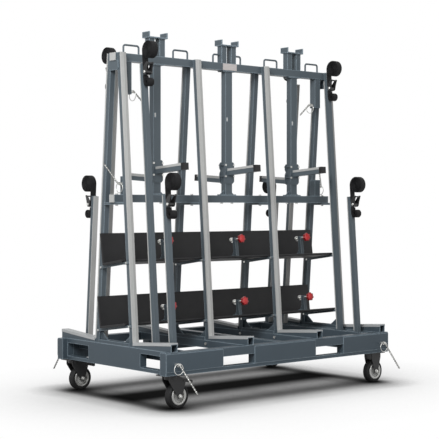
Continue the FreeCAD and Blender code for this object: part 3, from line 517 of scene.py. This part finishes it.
class CartStrapSettings(bpy.types.PropertyGroup):
    """Sizes of the poles and of the wound straps."""

    deck: FloatProperty(
        name="Deck", description="Height the poles are drawn from", default=0.283, unit="LENGTH")
    lean: FloatProperty(
        name="Lean", description="Lean of the poles", default=math.radians(4.2), subtype="ANGLE")
    pole: FloatProperty(
        name="Pole", description="Width of a pole tube", default=0.026, unit="LENGTH")
    width: FloatProperty(
        name="Width", description="Width of the webbing", default=0.035, unit="LENGTH")
    single: FloatProperty(
        name="Single", description="Thickness of one layer of webbing", default=0.0020, unit="LENGTH")
    layers: FloatProperty(
        name="Layers", description="Offset of each of the two layers", default=0.0011, unit="LENGTH")
    pitch: FloatProperty(
        name="Pitch", description="Fall of the radius each turn", default=0.0053, unit="LENGTH")
    radius: FloatProperty(
        name="Radius", description="Outside of the long roll", default=0.047, unit="LENGTH")
    turns: IntProperty(
        name="Turns", description="Turns of the long roll", default=8)
    rise: FloatProperty(
        name="Rise", description="Long roll above the pole top", default=0.062, unit="LENGTH")
    run: FloatProperty(
        name="Run", description="Start of the long strap below the pole top", default=0.030, unit="LENGTH")
    small: FloatProperty(
        name="Small", description="Outside of the short roll", default=0.025, unit="LENGTH")
    small_turns: IntProperty(
        name="Small turns", description="Turns of the short roll", default=3)
    drop: FloatProperty(
        name="Drop", description="Short roll below the pole top", default=0.098, unit="LENGTH")
    small_run: FloatProperty(
        name="Small run", description="Start of the short strap below the pole top",
        default=0.062, unit="LENGTH")
    stand: FloatProperty(
        name="Stand", description="Gap between pole and webbing", default=0.0003, unit="LENGTH")


class CartStageSettings(bpy.types.PropertyGroup):
    """Camera, floor and light."""

    camera: FloatVectorProperty(
        name="Camera", description="Place of the camera",
        size=3, unit="LENGTH", default=(-4.476, -5.150, 0.992))
    heading: FloatProperty(
        name="Heading", description="Turn of the view from +Y towards +X",
        default=math.radians(40.66), subtype="ANGLE")
    pitch: FloatProperty(
        name="Pitch", description="Fall of the view below level",
        default=math.radians(0.59), subtype="ANGLE")
    lens: FloatProperty(
        name="Lens", description="Focal length on a 36 mm sensor, in mm", default=101.05)
    key: FloatProperty(
        name="Key", description="Power of the key light, in watts", default=255.0)
    key_place: FloatVectorProperty(
        name="Key place", description="Place of the key light",
        size=3, unit="LENGTH", default=(-4.2, -2.6, 3.6))
    key_size: FloatProperty(
        name="Key size", description="Width of the key light", default=2.5, unit="LENGTH")
    fill: FloatProperty(
        name="Fill", description="Power of the fill light, in watts", default=60.0)
    fill_place: FloatVectorProperty(
        name="Fill place", description="Place of the fill light",
        size=3, unit="LENGTH", default=(1.5, -6.0, 2.5))
    fill_size: FloatProperty(
        name="Fill size", description="Width of the fill light", default=4.0, unit="LENGTH")
    aim: FloatVectorProperty(
        name="Aim", description="Point that both lights look at",
        size=3, unit="LENGTH", default=(0.0, 0.0, 0.8))
    sky: FloatProperty(
        name="Sky", description="Strength of the surrounding light", default=0.30)
    floor: FloatVectorProperty(
        name="Floor", description="Grey that the floor throws back on the cart",
        default=(0.30, 0.30, 0.30), **COLOUR)
    shadow: FloatVectorProperty(
        name="Shadow", description="Darkest tone of the floor",
        default=(0.003, 0.003, 0.003), **COLOUR)


class CART_OT_paint(bpy.types.Operator):
    """Powder coat on the welded frame"""

    bl_idname = "cart.paint"
    bl_label = "Paint frame"

    def coat(self, settings, name, nodes, share, rub_and_highlight):
        """A share of the paint's colour, darkened near the floor as painted shade, and paler by a factor
        where edges are rubbed and carry painted highlights.
        """
        surface = Surface(name)
        paint = [v * share for v in settings.paint]
        # Painted shade: darker paint towards the floor, none above the high height.
        shaded = [v * tint for v, tint in zip(paint, settings.shade_tint)]
        # Painted highlight along hard edges, partly real rubbed paint.
        wear_and_highlight = surface.worn_and_highlit_edges(radius=0.006, least=0.5)
        unshaded = surface.z.ramp(settings.shade_low, settings.shade_high)
        shaded_coat = surface.drift(shaded, share=0.09, scale=6.0)
        plain = surface.drift(paint, share=0.07)
        surface.set("Base Color", wear_and_highlight.mix(unshaded.mix(shaded_coat, plain), colour(paint, rub_and_highlight)))
        surface.rough(low=0.34, spread=0.14, scale=40.0)
        surface.set("Specular IOR Level", settings.shine)
        surface.bump(surface.noise(900.0, detail=1.0), strength=0.08, distance=0.0004)
        dress(nodes, surface)

    def execute(self, context):
        settings = context.scene.cart_paint
        frame_nodes = ("long_sills", "end_beams", "cross_members", "pole_rails", "ledge_beams", "legs",
                       "leg_gussets", "ridge_beam", "mid_rail", "cross_rungs", "masts",
                       "accessory_sockets", "ridge_handles")
        self.coat(settings, "frame_paint", frame_nodes, share=1.0, rub_and_highlight=3.0)
        # The saddle's edges get the palest painted highlight, partly real rubbed paint.
        self.coat(settings, "saddle", ("mast_heads",), share=1.0, rub_and_highlight=4.6)
        self.coat(settings, "clamp_post", ("clamp_posts",), share=0.55, rub_and_highlight=3.0)
        return {"FINISHED"}


class CART_OT_facings(bpy.types.Operator):
    """Pale plastic on the leg facings, ledge strips and tube ends"""

    bl_idname = "cart.facings"
    bl_label = "Finish facings"

    def scuffed(self, name, base, stretch):
        """Plastic surface with scuffs drawn out along one axis, and its colour."""
        surface = Surface(name)
        scuffs = surface.noise(500.0, detail=3.0, stretch=stretch).ramp(0.52, 0.75)
        surface.set("Roughness", scuffs * 0.15 + 0.42)
        return surface, scuffs.mix(surface.drift(base, share=0.05), colour(base, 0.84))

    def execute(self, context):
        settings = context.scene.cart_paint
        drawn_out = 0.015
        strip, tone = self.scuffed("ledge_strip", settings.strip, (1.0, drawn_out, 1.0))
        strip.set("Base Color", tone)
        dress(("ledge_strips",), strip)
        facing, tone = self.scuffed("facing", settings.facing, (1.0, 1.0, drawn_out))
        # Painted shade in a groove along each facing and on the lower step of its profile beside it.
        groove, groove_half = 0.004, 0.0009
        lower, lower_half, step_shade_share = 0.011, 0.007, 0.45
        from_leg = ((facing.x * (1.0 / BAY)).math("FRACT") - 0.5) * BAY
        groove_shade = abs(from_leg - groove) < groove_half
        step_shade = (abs(from_leg - lower) < lower_half) * step_shade_share
        facing.set("Base Color", step_shade.either(groove_shade).mix(tone, colour(settings.facing, 0.62)))
        dress(("leg_facings", "end_caps"), facing)
        return {"FINISHED"}


class CART_OT_boards(bpy.types.Operator):
    """Matt black tray floors and back boards"""

    bl_idname = "cart.boards"
    bl_label = "Finish boards"

    def execute(self, context):
        black = context.scene.cart_paint.black
        surface = Surface("black_board")
        # Painted highlight along the boards' hard edges, partly real rubbed edges.
        wear_and_highlight = surface.edges(radius=0.003)
        surface.set("Base Color", wear_and_highlight.mix(surface.drift(black, share=0.1), colour(black, 2.6)))
        surface.rough(low=0.5, spread=0.15, scale=25.0)
        surface.set("Specular IOR Level", 0.3)
        surface.bump(surface.noise(420.0, detail=1.0), strength=0.2, distance=0.0006)
        dress(("tray_shelves", "tray_boards"), surface)
        return {"FINISHED"}


class CART_OT_plating(bpy.types.Operator):
    """Zinc plate on bolts and lock pins, and the brushed bare plate on the ridge"""

    bl_idname = "cart.plating"
    bl_label = "Plate fasteners"

    def execute(self, context):
        settings = context.scene.cart_paint
        ridge_low, ridge_face = 1.74, 0.0245
        surface = Surface("zinc")
        on_ridge = (surface.z > ridge_low) * (-surface.y > ridge_face)
        brushed = surface.noise(900.0, detail=3.0, stretch=(0.02, 1.0, 1.0))
        bare = brushed.mix(colour(settings.plate_dark), colour(settings.plate_light))
        surface.set("Base Color", on_ridge.mix(surface.drift(settings.zinc, share=0.08, scale=60.0), bare))
        surface.set("Metallic", 0.9 - on_ridge * 0.5)
        surface.rough(low=0.26, spread=0.2, scale=200.0)
        dress(("frame_bolts", "lock_pins"), surface)
        return {"FINISHED"}


class CART_OT_casters(bpy.types.Operator):
    """Black caster steel, rubber tyres and wheel centres with a bright rim"""

    bl_idname = "cart.casters"
    bl_label = "Finish casters"

    def forks(self, black):
        """Black steel, rubbed at its edges, with painted highlights there."""
        steel = Surface("caster_steel")
        # Painted highlight along hard edges, partly real rubbing.
        wear_and_highlight = steel.edges(radius=0.0025)
        steel.set("Base Color", wear_and_highlight.mix(steel.drift(black, share=0.1), colour(black, 4.0)))
        steel.rough(low=0.3, spread=0.15, scale=80.0)
        steel.set("Specular IOR Level", 0.35)
        dress(("caster_brackets", "swivel_fork_front", "swivel_fork_rear", "brake_pedal_front",
               "brake_pedal_rear"), steel)

    def tyre(self, place, base):
        """Rubber with dust on the tread and fine rings on its sides."""
        shoulder, tread, rings = 0.056, 0.0625, 2200.0
        rubber = Surface("tyre_" + place)
        out = rubber.from_axle(middle("hub_" + place))
        dust = out.ramp(shoulder, tread) * rubber.noise(60.0) * 0.5
        rubber.set("Base Color", dust.mix(rubber.drift(base, share=0.1), colour(base, 2.4)))
        rubber.rough(low=0.55, spread=0.15, scale=90.0)
        rubber.set("Specular IOR Level", 0.2)
        rubber.bump((out * rings).math("SINE") * (out < shoulder), strength=0.25, distance=0.0005)
        dress(("tyre_" + place,), rubber)

    def centre(self, place, settings):
        """Grey wheel centre, bright at its rim and its boss."""
        boss, rim = 0.0152, 0.0295
        hub = Surface("hub_" + place)
        out = hub.from_axle(middle("hub_" + place))
        bright = (out > rim).either(out < boss)
        grey = hub.drift(settings.hub, share=0.08, scale=30.0)
        hub.set("Base Color", bright.mix(grey, colour(settings.zinc, 0.8)))
        hub.set("Metallic", bright * 0.85)
        hub.set("Roughness", 0.42 - bright * 0.16)
        dress(("hub_" + place,), hub)

    def execute(self, context):
        settings = context.scene.cart_paint
        self.forks(settings.black)
        for place in WHEELS:
            self.tyre(place, settings.rubber)
            self.centre(place, settings)
        return {"FINISHED"}


class CART_OT_nuts(bpy.types.Operator):
    """Plated washer, nut and thread end on both sides of every wheel fork"""

    bl_idname = "cart.nuts"
    bl_label = "Fit wheel nuts"

    def execute(self, context):
        fit = context.scene.cart_fitting
        zinc = fitting("wheel_nut", context.scene.cart_paint.zinc, share=0.08, cells=120.0, metallic=0.9,
                       low=0.25, grain=300.0)
        washer_end = fit.cheek + 0.0017
        nut_end = washer_end + 0.0060
        thread_end = nut_end + 0.0027
        washer = turned(cut_back(fit.cheek, washer_end, fit.washer, slope=0.0004, cut=0.0007), 32)
        nut = turned(cut_back(washer_end, nut_end, fit.nut, slope=0.0009, cut=0.0010), 6)
        thread = turned(cut_back(nut_end, thread_end, fit.thread, slope=0.0008, cut=0.0008), 20)
        for place, body in WHEELS.items():
            axle = middle("hub_" + place)
            shells = [on_axle(rings, axle, side) for side in (-1.0, 1.0) for rings in (washer, nut, thread)]
            new_piece("wheel_nuts_" + place, shells, zinc, body)
        return {"FINISHED"}


class CART_OT_rims(bpy.types.Operator):
    """Pressed steel ring on both sides of every tyre, round the wheel centre"""

    bl_idname = "cart.rims"
    bl_label = "Fit wheel rings"

    def execute(self, context):
        fit = context.scene.cart_fitting
        steel = fitting("wheel_ring", context.scene.cart_paint.ring, share=0.12, cells=60.0, metallic=0.8,
                        low=0.28, grain=250.0)
        inner, outer = fit.ring_inner, fit.ring_outer
        # Back and front of a ring from the wheel's middle.
        seat, face = 0.0196, 0.0214
        section = [(seat, inner), (face - 0.0004, inner + 0.0006), (face, inner + 0.0024),
                   (face - 0.0002, outer - 0.0020), (face - 0.0008, outer - 0.0004), (seat, outer),
                   (seat, inner)]
        ring = turned(section, 64)
        for place in WHEELS:
            axle = middle("hub_" + place)
            shells = [on_axle(ring, axle, side) for side in (-1.0, 1.0)]
            obj = new_piece("wheel_ring_" + place, shells, steel, "wheel_" + place)
            obj.data.shade_smooth()
        return {"FINISHED"}


class CART_OT_wires(bpy.types.Operator):
    """Two plated strands twisted round the stiff wire of every lock pin"""

    bl_idname = "cart.wires"
    bl_label = "Twist pin wires"

    def execute(self, context):
        steel = fitting("pin_wire", context.scene.cart_paint.wire, share=0.15, cells=90.0, metallic=0.7,
                        low=0.34, grain=300.0)
        shells = []
        for start, run, both in PIN_WIRES:
            for phase in (0.0, math.pi):
                rings = strand(start, run, context.scene.cart_fitting, phase)
                for mirror_x in (1.0, -1.0):
                    for mirror_y in (1.0, -1.0) if both else (1.0,):
                        shells.append(rings * (mirror_x, mirror_y, 1.0))
        obj = new_piece("pin_wires", shells, steel, "frame")
        obj.data.shade_smooth()
        return {"FINISHED"}


class CART_OT_latches(bpy.types.Operator):
    """Pale spring tongue behind the slot of every mast"""

    bl_idname = "cart.latches"
    bl_label = "Fit mast latches"

    def execute(self, context):
        pale = fitting("mast_latch", context.scene.cart_paint.tongue, share=0.05, cells=90.0, metallic=0.0,
                       low=0.3, grain=200.0)
        slot_z, slot_x, mast_face = 1.474, -0.0132, 0.018
        round_end, half_straight = 0.0032, 0.0078
        angle = np.linspace(0.0, math.pi, 9)
        arc = round_end * np.stack([np.cos(angle), np.sin(angle)], axis=1)
        shift = (0.0, half_straight)
        pill = np.concatenate([arc + shift, -arc - shift])
        # The tongue starts inside the mast and narrows where it stands out of the slot.
        depth = np.array([-0.0040, 0.0004, 0.0010, 0.0012])[:, None]
        scale = np.array([1.0, 1.0, 0.93, 0.80])[:, None]
        for name, x in MASTS.items():
            shells = []
            for side in (-1.0, 1.0):
                rings = np.empty((len(depth), len(pill), 3))
                rings[..., 0] = x + slot_x + pill[None, :, 0] * scale
                rings[..., 1] = side * (mast_face + depth)
                rings[..., 2] = slot_z + pill[None, :, 1] * scale
                shells.append(rings)
            new_piece("mast_latch_" + name, shells, pale, "frame")
        return {"FINISHED"}


class CART_OT_poles(bpy.types.Operator):
    """Painted pole tubes with their pale inner facings"""

    bl_idname = "cart.poles"
    bl_label = "Finish poles"

    def execute(self, context):
        settings = context.scene.cart_paint
        straps = context.scene.cart_strap
        c, s = math.cos(straps.lean), math.sin(straps.lean)
        half = straps.pole / 2.0 + 0.0003
        facing_low = straps.deck + 0.004
        for pole in list_poles():
            surface = Surface("pole_" + pole.name)
            inward = surface.y * (-pole.side * c) - surface.z * s + (pole.foot * c + straps.deck * s)
            lips = abs(surface.x - pole.x) > half
            pale = (inward > half).either(lips) * (surface.z > facing_low)
            # Painted highlight along hard edges, partly real rubbed paint.
            wear_and_highlight = surface.worn_and_highlit_edges(radius=0.003, least=0.35)
            coat = wear_and_highlight.mix(surface.drift(settings.paint, share=0.07), colour(settings.paint, 1.6))
            surface.set("Base Color", pale.mix(coat, colour(settings.facing)))
            surface.rough(low=0.36, spread=0.14, scale=40.0)
            surface.set("Specular IOR Level", settings.shine)
            dress(("pole_" + pole.name,), surface)
        return {"FINISHED"}


class CART_OT_arms(bpy.types.Operator):
    """Painted support arms with pale strips, black ends and plated bolts"""

    bl_idname = "cart.arms"
    bl_label = "Finish arms"

    def execute(self, context):
        settings = context.scene.cart_paint
        rise = math.radians(4.0)
        root, length, front_z, rear_z = 0.0229, 0.2161, 1.182, 1.140
        # Just outside the tube's faces, and where strip, strip lips, bolts and bolt heads begin.
        skin_half, strip_start, lip_low, bolt_start, bolt_aside = 0.0161, 0.004, 0.0069, 0.0017, 0.0185
        surface = Surface("arms")
        reach = abs(surface.y) - root
        front = -surface.y > 0.0
        height = surface.z - (front * (front_z - rear_z) + rear_z)
        lift = height * math.cos(rise) - reach * math.sin(rise)
        along = reach * math.cos(rise) + height * math.sin(rise)
        aside = surface.x.math("PINGPONG", BAY / 2.0)
        over = (lift > skin_half).either((aside > skin_half) * (lift > lip_low))
        strip = over * (reach > strip_start)
        bolt = (reach > bolt_start) * (aside > bolt_aside)
        # Painted highlight along hard edges, partly real rubbed paint.
        wear_and_highlight = surface.worn_and_highlit_edges(radius=0.003, least=0.35)
        base = wear_and_highlight.mix(surface.drift(settings.paint, share=0.07), colour(settings.paint, 1.75))
        base = strip.mix(base, colour(settings.facing))
        base = (along > length).mix(base, colour(settings.black))
        surface.set("Base Color", bolt.mix(base, colour(settings.zinc)))
        surface.set("Metallic", bolt * 0.9)
        surface.rough(low=0.38, spread=0.12, scale=40.0)
        surface.set("Specular IOR Level", settings.shine)
        dress(["arms_" + place for place in MASTS], surface)
        return {"FINISHED"}


class CART_OT_clamps(bpy.types.Operator):
    """Clamp screws: plated rod and pad, red knob"""

    bl_idname = "cart.clamps"
    bl_label = "Finish clamps"

    def execute(self, context):
        settings = context.scene.cart_paint
        tilt = math.radians(8.0)
        c, s = math.cos(tilt), math.sin(tilt)
        # Radius and depth of a knob, start and end of the painted shade at its rim, and how its face falls
        # off.
        knob, knob_depth, rim_shade_start, rim_shade_end, crown = 0.024, 0.019, 0.011, 0.025, -11.0
        for tier in ("upper", "lower"):
            low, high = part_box("clamp_%s_centre" % tier)
            tip = -low[1] * c + (low[2] + high[2]) / 2.0 * s
            top = (low[1] + 2.0 * knob * s) * s + high[2] * c
            surface = Surface("clamp_" + tier)
            red = (surface.y * -c + surface.z * s) > tip - knob_depth
            over = surface.y * s + surface.z * c - (top - knob)
            aside = surface.x.math("PINGPONG", BAY / 2.0)
            out = (aside * aside + over * over).math("SQRT")
            # Painted shade: the red darkens towards the knob's rim.
            red_with_rim_shade = out.ramp(rim_shade_start, rim_shade_end).mix(colour(settings.knob), colour(settings.knob, 0.42))
            plated = surface.drift(settings.zinc, share=0.08, scale=120.0)
            surface.set("Base Color", red.mix(plated, red_with_rim_shade))
            surface.set("Metallic", 0.9 - red * 0.9)
            surface.set("Roughness", surface.noise(150.0) * 0.1 + 0.3 - red * 0.04)
            surface.bump(out * out * red * crown, strength=0.8, distance=1.0)
            dress(["clamp_%s_%s" % (tier, place) for place in MASTS], surface)
        return {"FINISHED"}


class CART_OT_straps(bpy.types.Operator):
    """Wound webbing on every pole, in place of the plain bands"""

    bl_idname = "cart.straps"
    bl_label = "Wind straps"

    def webbing(self, settings, width):
        """Black weave with painted shade in its hollows and painted sheen on its crowns: the product of a
        wave along the strap and one across it, flatter at the selvedges.
        """
        surface = Surface("webbing", "UV")
        weave = (surface.x * 2400.0).math("SINE") * (surface.y * 2600.0).math("SINE")
        selvedge = abs(surface.y) > width * 0.42
        light = (weave * 0.5 + 0.5) * (1.0 - selvedge * 0.5)
        surface.set("Base Color", light.mix(colour(settings.web_dark), colour(settings.web_light)))
        surface.set("Roughness", 0.66)
        surface.set("Specular IOR Level", 0.15)
        surface.bump(weave, strength=0.35, distance=0.0003)
        return surface

    def execute(self, context):
        s = context.scene.cart_strap
        surface = self.webbing(context.scene.cart_paint, s.width)
        face = -s.pole / 2.0 - s.stand
        half = 2.0 * s.layers
        for pole in list_poles():
            top = pole_length(pole, s)
            long_roll = spiral((face - s.radius, top + s.rise), s.radius - half, s.pitch, s.turns,
                               top - s.run)
            short_roll = spiral((face - s.small, top - s.drop), s.small - half, s.pitch, s.small_turns,
                                top - s.small_run)
            shells, places = [], []
            for path in (long_roll, short_roll):
                for layer in (-s.layers, s.layers):
                    rings, place = band(path, s.single, s.width, layer)
                    shells.append(on_pole(rings, pole, s))
                    places.append(place)
            obj = new_piece("webbing_" + pole.name, shells, surface, "pole_" + pole.name,
                            np.concatenate(places))
            obj.data.shade_smooth()
            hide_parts("strap_" + pole.name)
        return {"FINISHED"}


class CART_OT_ratchets(bpy.types.Operator):
    """Strap ratchet on the outer face of every pole: cheeks, spindle, grip, base and bolt heads"""

    bl_idname = "cart.ratchets"
    bl_label = "Build ratchets"

    def soften(self, obj, width):
        """Bevel the hard edges of a ratchet."""
        edge = obj.modifiers.new("edge", "BEVEL")
        edge.width = width
        edge.segments = 2
        edge.limit_method = "ANGLE"
        edge.angle_limit = math.radians(40.0)

    def execute(self, context):
        s = context.scene.cart_strap
        settings = context.scene.cart_paint
        steel = Surface("ratchet")
        # Painted highlight along hard edges, partly real rubbing.
        wear_and_highlight = steel.edges(radius=0.0015)
        steel.set("Base Color", wear_and_highlight.mix(steel.drift(settings.black, share=0.1), colour(settings.black, 3.0)))
        steel.rough(low=0.32, spread=0.15, scale=200.0)
        zinc = fitting("ratchet_bolt", settings.zinc, share=0.08, cells=120.0, metallic=0.9, low=0.24,
                       grain=300.0)
        # Outlines in (y, z) from the back of the webbing at the pole's top.
        cheek = [(-0.001, -0.060), (-0.001, -0.024), (-0.016, -0.008), (-0.030, 0.002), (-0.040, 0.001),
                 (-0.042, -0.003), (-0.036, -0.016), (-0.029, -0.034), (-0.026, -0.046), (-0.023, -0.055),
                 (-0.018, -0.060)]
        grip = [(-0.040, -0.008), (-0.032, -0.008), (-0.031, -0.002), (-0.039, -0.001)]
        base = [(-0.0025, -0.060), (-0.0002, -0.060), (-0.0002, -0.026), (-0.0025, -0.026)]
        # Faces of the cheeks from the ratchet's middle.
        inner, outer = 0.017, 0.020
        spindle = np.array((0.0, -0.014, -0.047))
        spindle_radius = 0.008
        barrel = turned([(-inner, spindle_radius), (inner, spindle_radius)], 24) + spindle
        steel_shells = [plate(cheek, -outer, -inner), plate(cheek, inner, outer), plate(grip, -inner, inner),
                        plate(base, -inner, inner), barrel]
        head = turned(cut_back(outer, outer + 0.0045, radius=0.0075, slope=0.0010, cut=0.0013), 20)
        heads = [head * (end, 1.0, 1.0) + spindle for end in (-1.0, 1.0)]
        back = -s.pole / 2.0 - s.stand - 4.0 * s.layers
        for pole in list_poles():
            lift = np.array((0.0, back, pole_length(pole, s)))
            body = "pole_" + pole.name
            shells = [on_pole(rings + lift, pole, s) for rings in steel_shells]
            obj = new_piece("ratchet_" + pole.name, shells, steel, body)
            self.soften(obj, width=0.0006)
            shells = [on_pole(rings + lift, pole, s) for rings in heads]
            new_piece("ratchet_bolt_" + pole.name, shells, zinc, body)
        return {"FINISHED"}


class CART_OT_stage(bpy.types.Operator):
    """Pale floor with the cart's soft shade, studio light and the photo's camera"""

    bl_idname = "cart.stage"
    bl_label = "Set stage"

    def seen(self, tree):
        """1 for rays that show the background itself, in the camera, a reflection or through glass."""
        camera, mirror, through = (Field.node(tree, "ShaderNodeLightPath", {}, "Is %s Ray" % kind)
                                   for kind in ("Camera", "Glossy", "Transmission"))
        return camera.either(mirror).either(through)

    def nearby(self, surface, distance):
        """Share of the sky that solids within a distance leave open."""
        return Field.node(surface.tree, "ShaderNodeAmbientOcclusion", {"Distance": distance}, 1, samples=16)

    def shade(self, surface):
        """Painted shadow: the share of light left on the floor, as under a broad overhead light.

        Nearby solids darken it, the wide trays most of all, then the end beams and the sills. Each
        ramp runs from the edge of a dark patch to its full depth.
        """
        out_x, out_y = abs(surface.x), abs(surface.y)
        under_trays = abs(surface.y - 0.010).ramp(0.260, 0.065) * out_x.ramp(0.810, 0.690)
        under_ends = abs(out_x - 0.738).ramp(0.110, 0.010) * out_y.ramp(0.520, 0.400)
        under_sills = abs(out_y - 0.415).ramp(0.150, 0.010) * out_x.ramp(0.860, 0.720)
        inside = out_x.ramp(0.800, 0.680) * out_y.ramp(0.500, 0.400)
        left = self.nearby(surface, 0.26) ** 2.6 * self.nearby(surface, 0.9) ** 1.3
        for patch, depth in ((under_trays, 0.975), (under_ends, 0.78), (under_sills, 0.55), (inside, 0.36)):
            left = left * (1.0 - patch * depth)
        return left

    def lay_floor(self, scene, settings):
        """Wide floor that shows white with the cart's shade and throws back a plain grey."""
        side = 40.0
        mesh = bpy.data.meshes.new("floor")
        corners = [(-side, -side, 0.0), (side, -side, 0.0), (side, side, 0.0), (-side, side, 0.0)]
        mesh.from_pydata(corners, [], [(0, 1, 2, 3)])
        floor = bpy.data.objects.new("floor", mesh)
        scene.collection.objects.link(floor)
        surface = Surface("floor")
        surface.set("Base Color", colour(settings.floor))
        surface.set("Roughness", 0.9)
        tone = self.shade(surface).mix(colour(settings.shadow), WHITE)
        glow = Field.node(surface.tree, "ShaderNodeEmission", {"Color": tone})
        plain = Field(surface.tree, surface.shader.outputs[0])
        sockets = {0: self.seen(surface.tree), 1: plain, 2: glow}
        shown = Field.node(surface.tree, "ShaderNodeMixShader", sockets)
        surface.tree.links.new(shown.socket, surface.tree.nodes["Material Output"].inputs[0])
        mesh.materials.append(surface.material)

    def light_studio(self, scene, settings):
        """White surroundings, dimmer for the light they give, and two area lights."""
        world = bpy.data.worlds.new("studio")
        world.use_nodes = True
        tree = world.node_tree
        back = tree.nodes["Background"]
        level = self.seen(tree) * (1.0 - settings.sky) + settings.sky
        tree.links.new(level.socket, back.inputs["Strength"])
        back.inputs["Color"].default_value = WHITE
        scene.world = world
        for name, place, size, power in (("key", settings.key_place, settings.key_size, settings.key),
                                         ("fill", settings.fill_place, settings.fill_size, settings.fill)):
            lamp = bpy.data.lights.new(name, "AREA")
            lamp.size = size
            lamp.energy = power
            obj = bpy.data.objects.new(name, lamp)
            obj.location = place
            obj.rotation_euler = (Vector(settings.aim) - Vector(place)).to_track_quat("-Z", "Y").to_euler()
            scene.collection.objects.link(obj)

    def set_camera(self, scene, settings):
        """Camera at the photo's place."""
        view = bpy.data.cameras.new("photo")
        view.lens = settings.lens
        view.sensor_width = 36.0
        view.clip_end = 200.0
        eye = bpy.data.objects.new("photo", view)
        eye.location = settings.camera
        eye.rotation_euler = Euler((math.pi / 2.0 - settings.pitch, 0.0, -settings.heading))
        scene.collection.objects.link(eye)
        scene.camera = eye

    def execute(self, context):
        scene = context.scene
        scene.view_settings.view_transform = "Standard"
        self.lay_floor(scene, scene.cart_stage)
        self.light_studio(scene, scene.cart_stage)
        self.set_camera(scene, scene.cart_stage)
        return {"FINISHED"}


class CART_PT_panel(bpy.types.Panel):
    """Buttons for every step of the cart"""

    bl_idname = "CART_PT_panel"
    bl_label = "Slab A-frame cart"
    bl_space_type = "VIEW_3D"
    bl_region_type = "UI"
    bl_category = "Cart"

    def draw(self, context):
        for step in STEPS:
            self.layout.operator(step.bl_idname)


STEPS = (CART_OT_paint, CART_OT_facings, CART_OT_boards, CART_OT_plating, CART_OT_casters, CART_OT_nuts,
         CART_OT_rims, CART_OT_wires, CART_OT_latches, CART_OT_poles, CART_OT_arms, CART_OT_clamps,
         CART_OT_straps, CART_OT_ratchets, CART_OT_stage)
SETTINGS = {
    "cart_paint": CartPaintSettings,
    "cart_fitting": CartFittingSettings,
    "cart_strap": CartStrapSettings,
    "cart_stage": CartStageSettings,
}
CLASSES = tuple(SETTINGS.values()) + STEPS + (CART_PT_panel,)


def register():
    """Add the classes and the scene's settings."""
    for item in CLASSES:
        bpy.utils.register_class(item)
    for name, group in SETTINGS.items():
        setattr(bpy.types.Scene, name, PointerProperty(type=group))


def unregister():
    """Take the settings and the classes away again."""
    for name in SETTINGS:
        delattr(bpy.types.Scene, name)
    for item in reversed(CLASSES):
        bpy.utils.unregister_class(item)


def main():
    """Run every step."""
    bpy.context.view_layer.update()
    register()
    for step in STEPS:
        group, name = step.bl_idname.split(".")
        getattr(getattr(bpy.ops, group), name)()


if __name__ == "__main__":
    main()
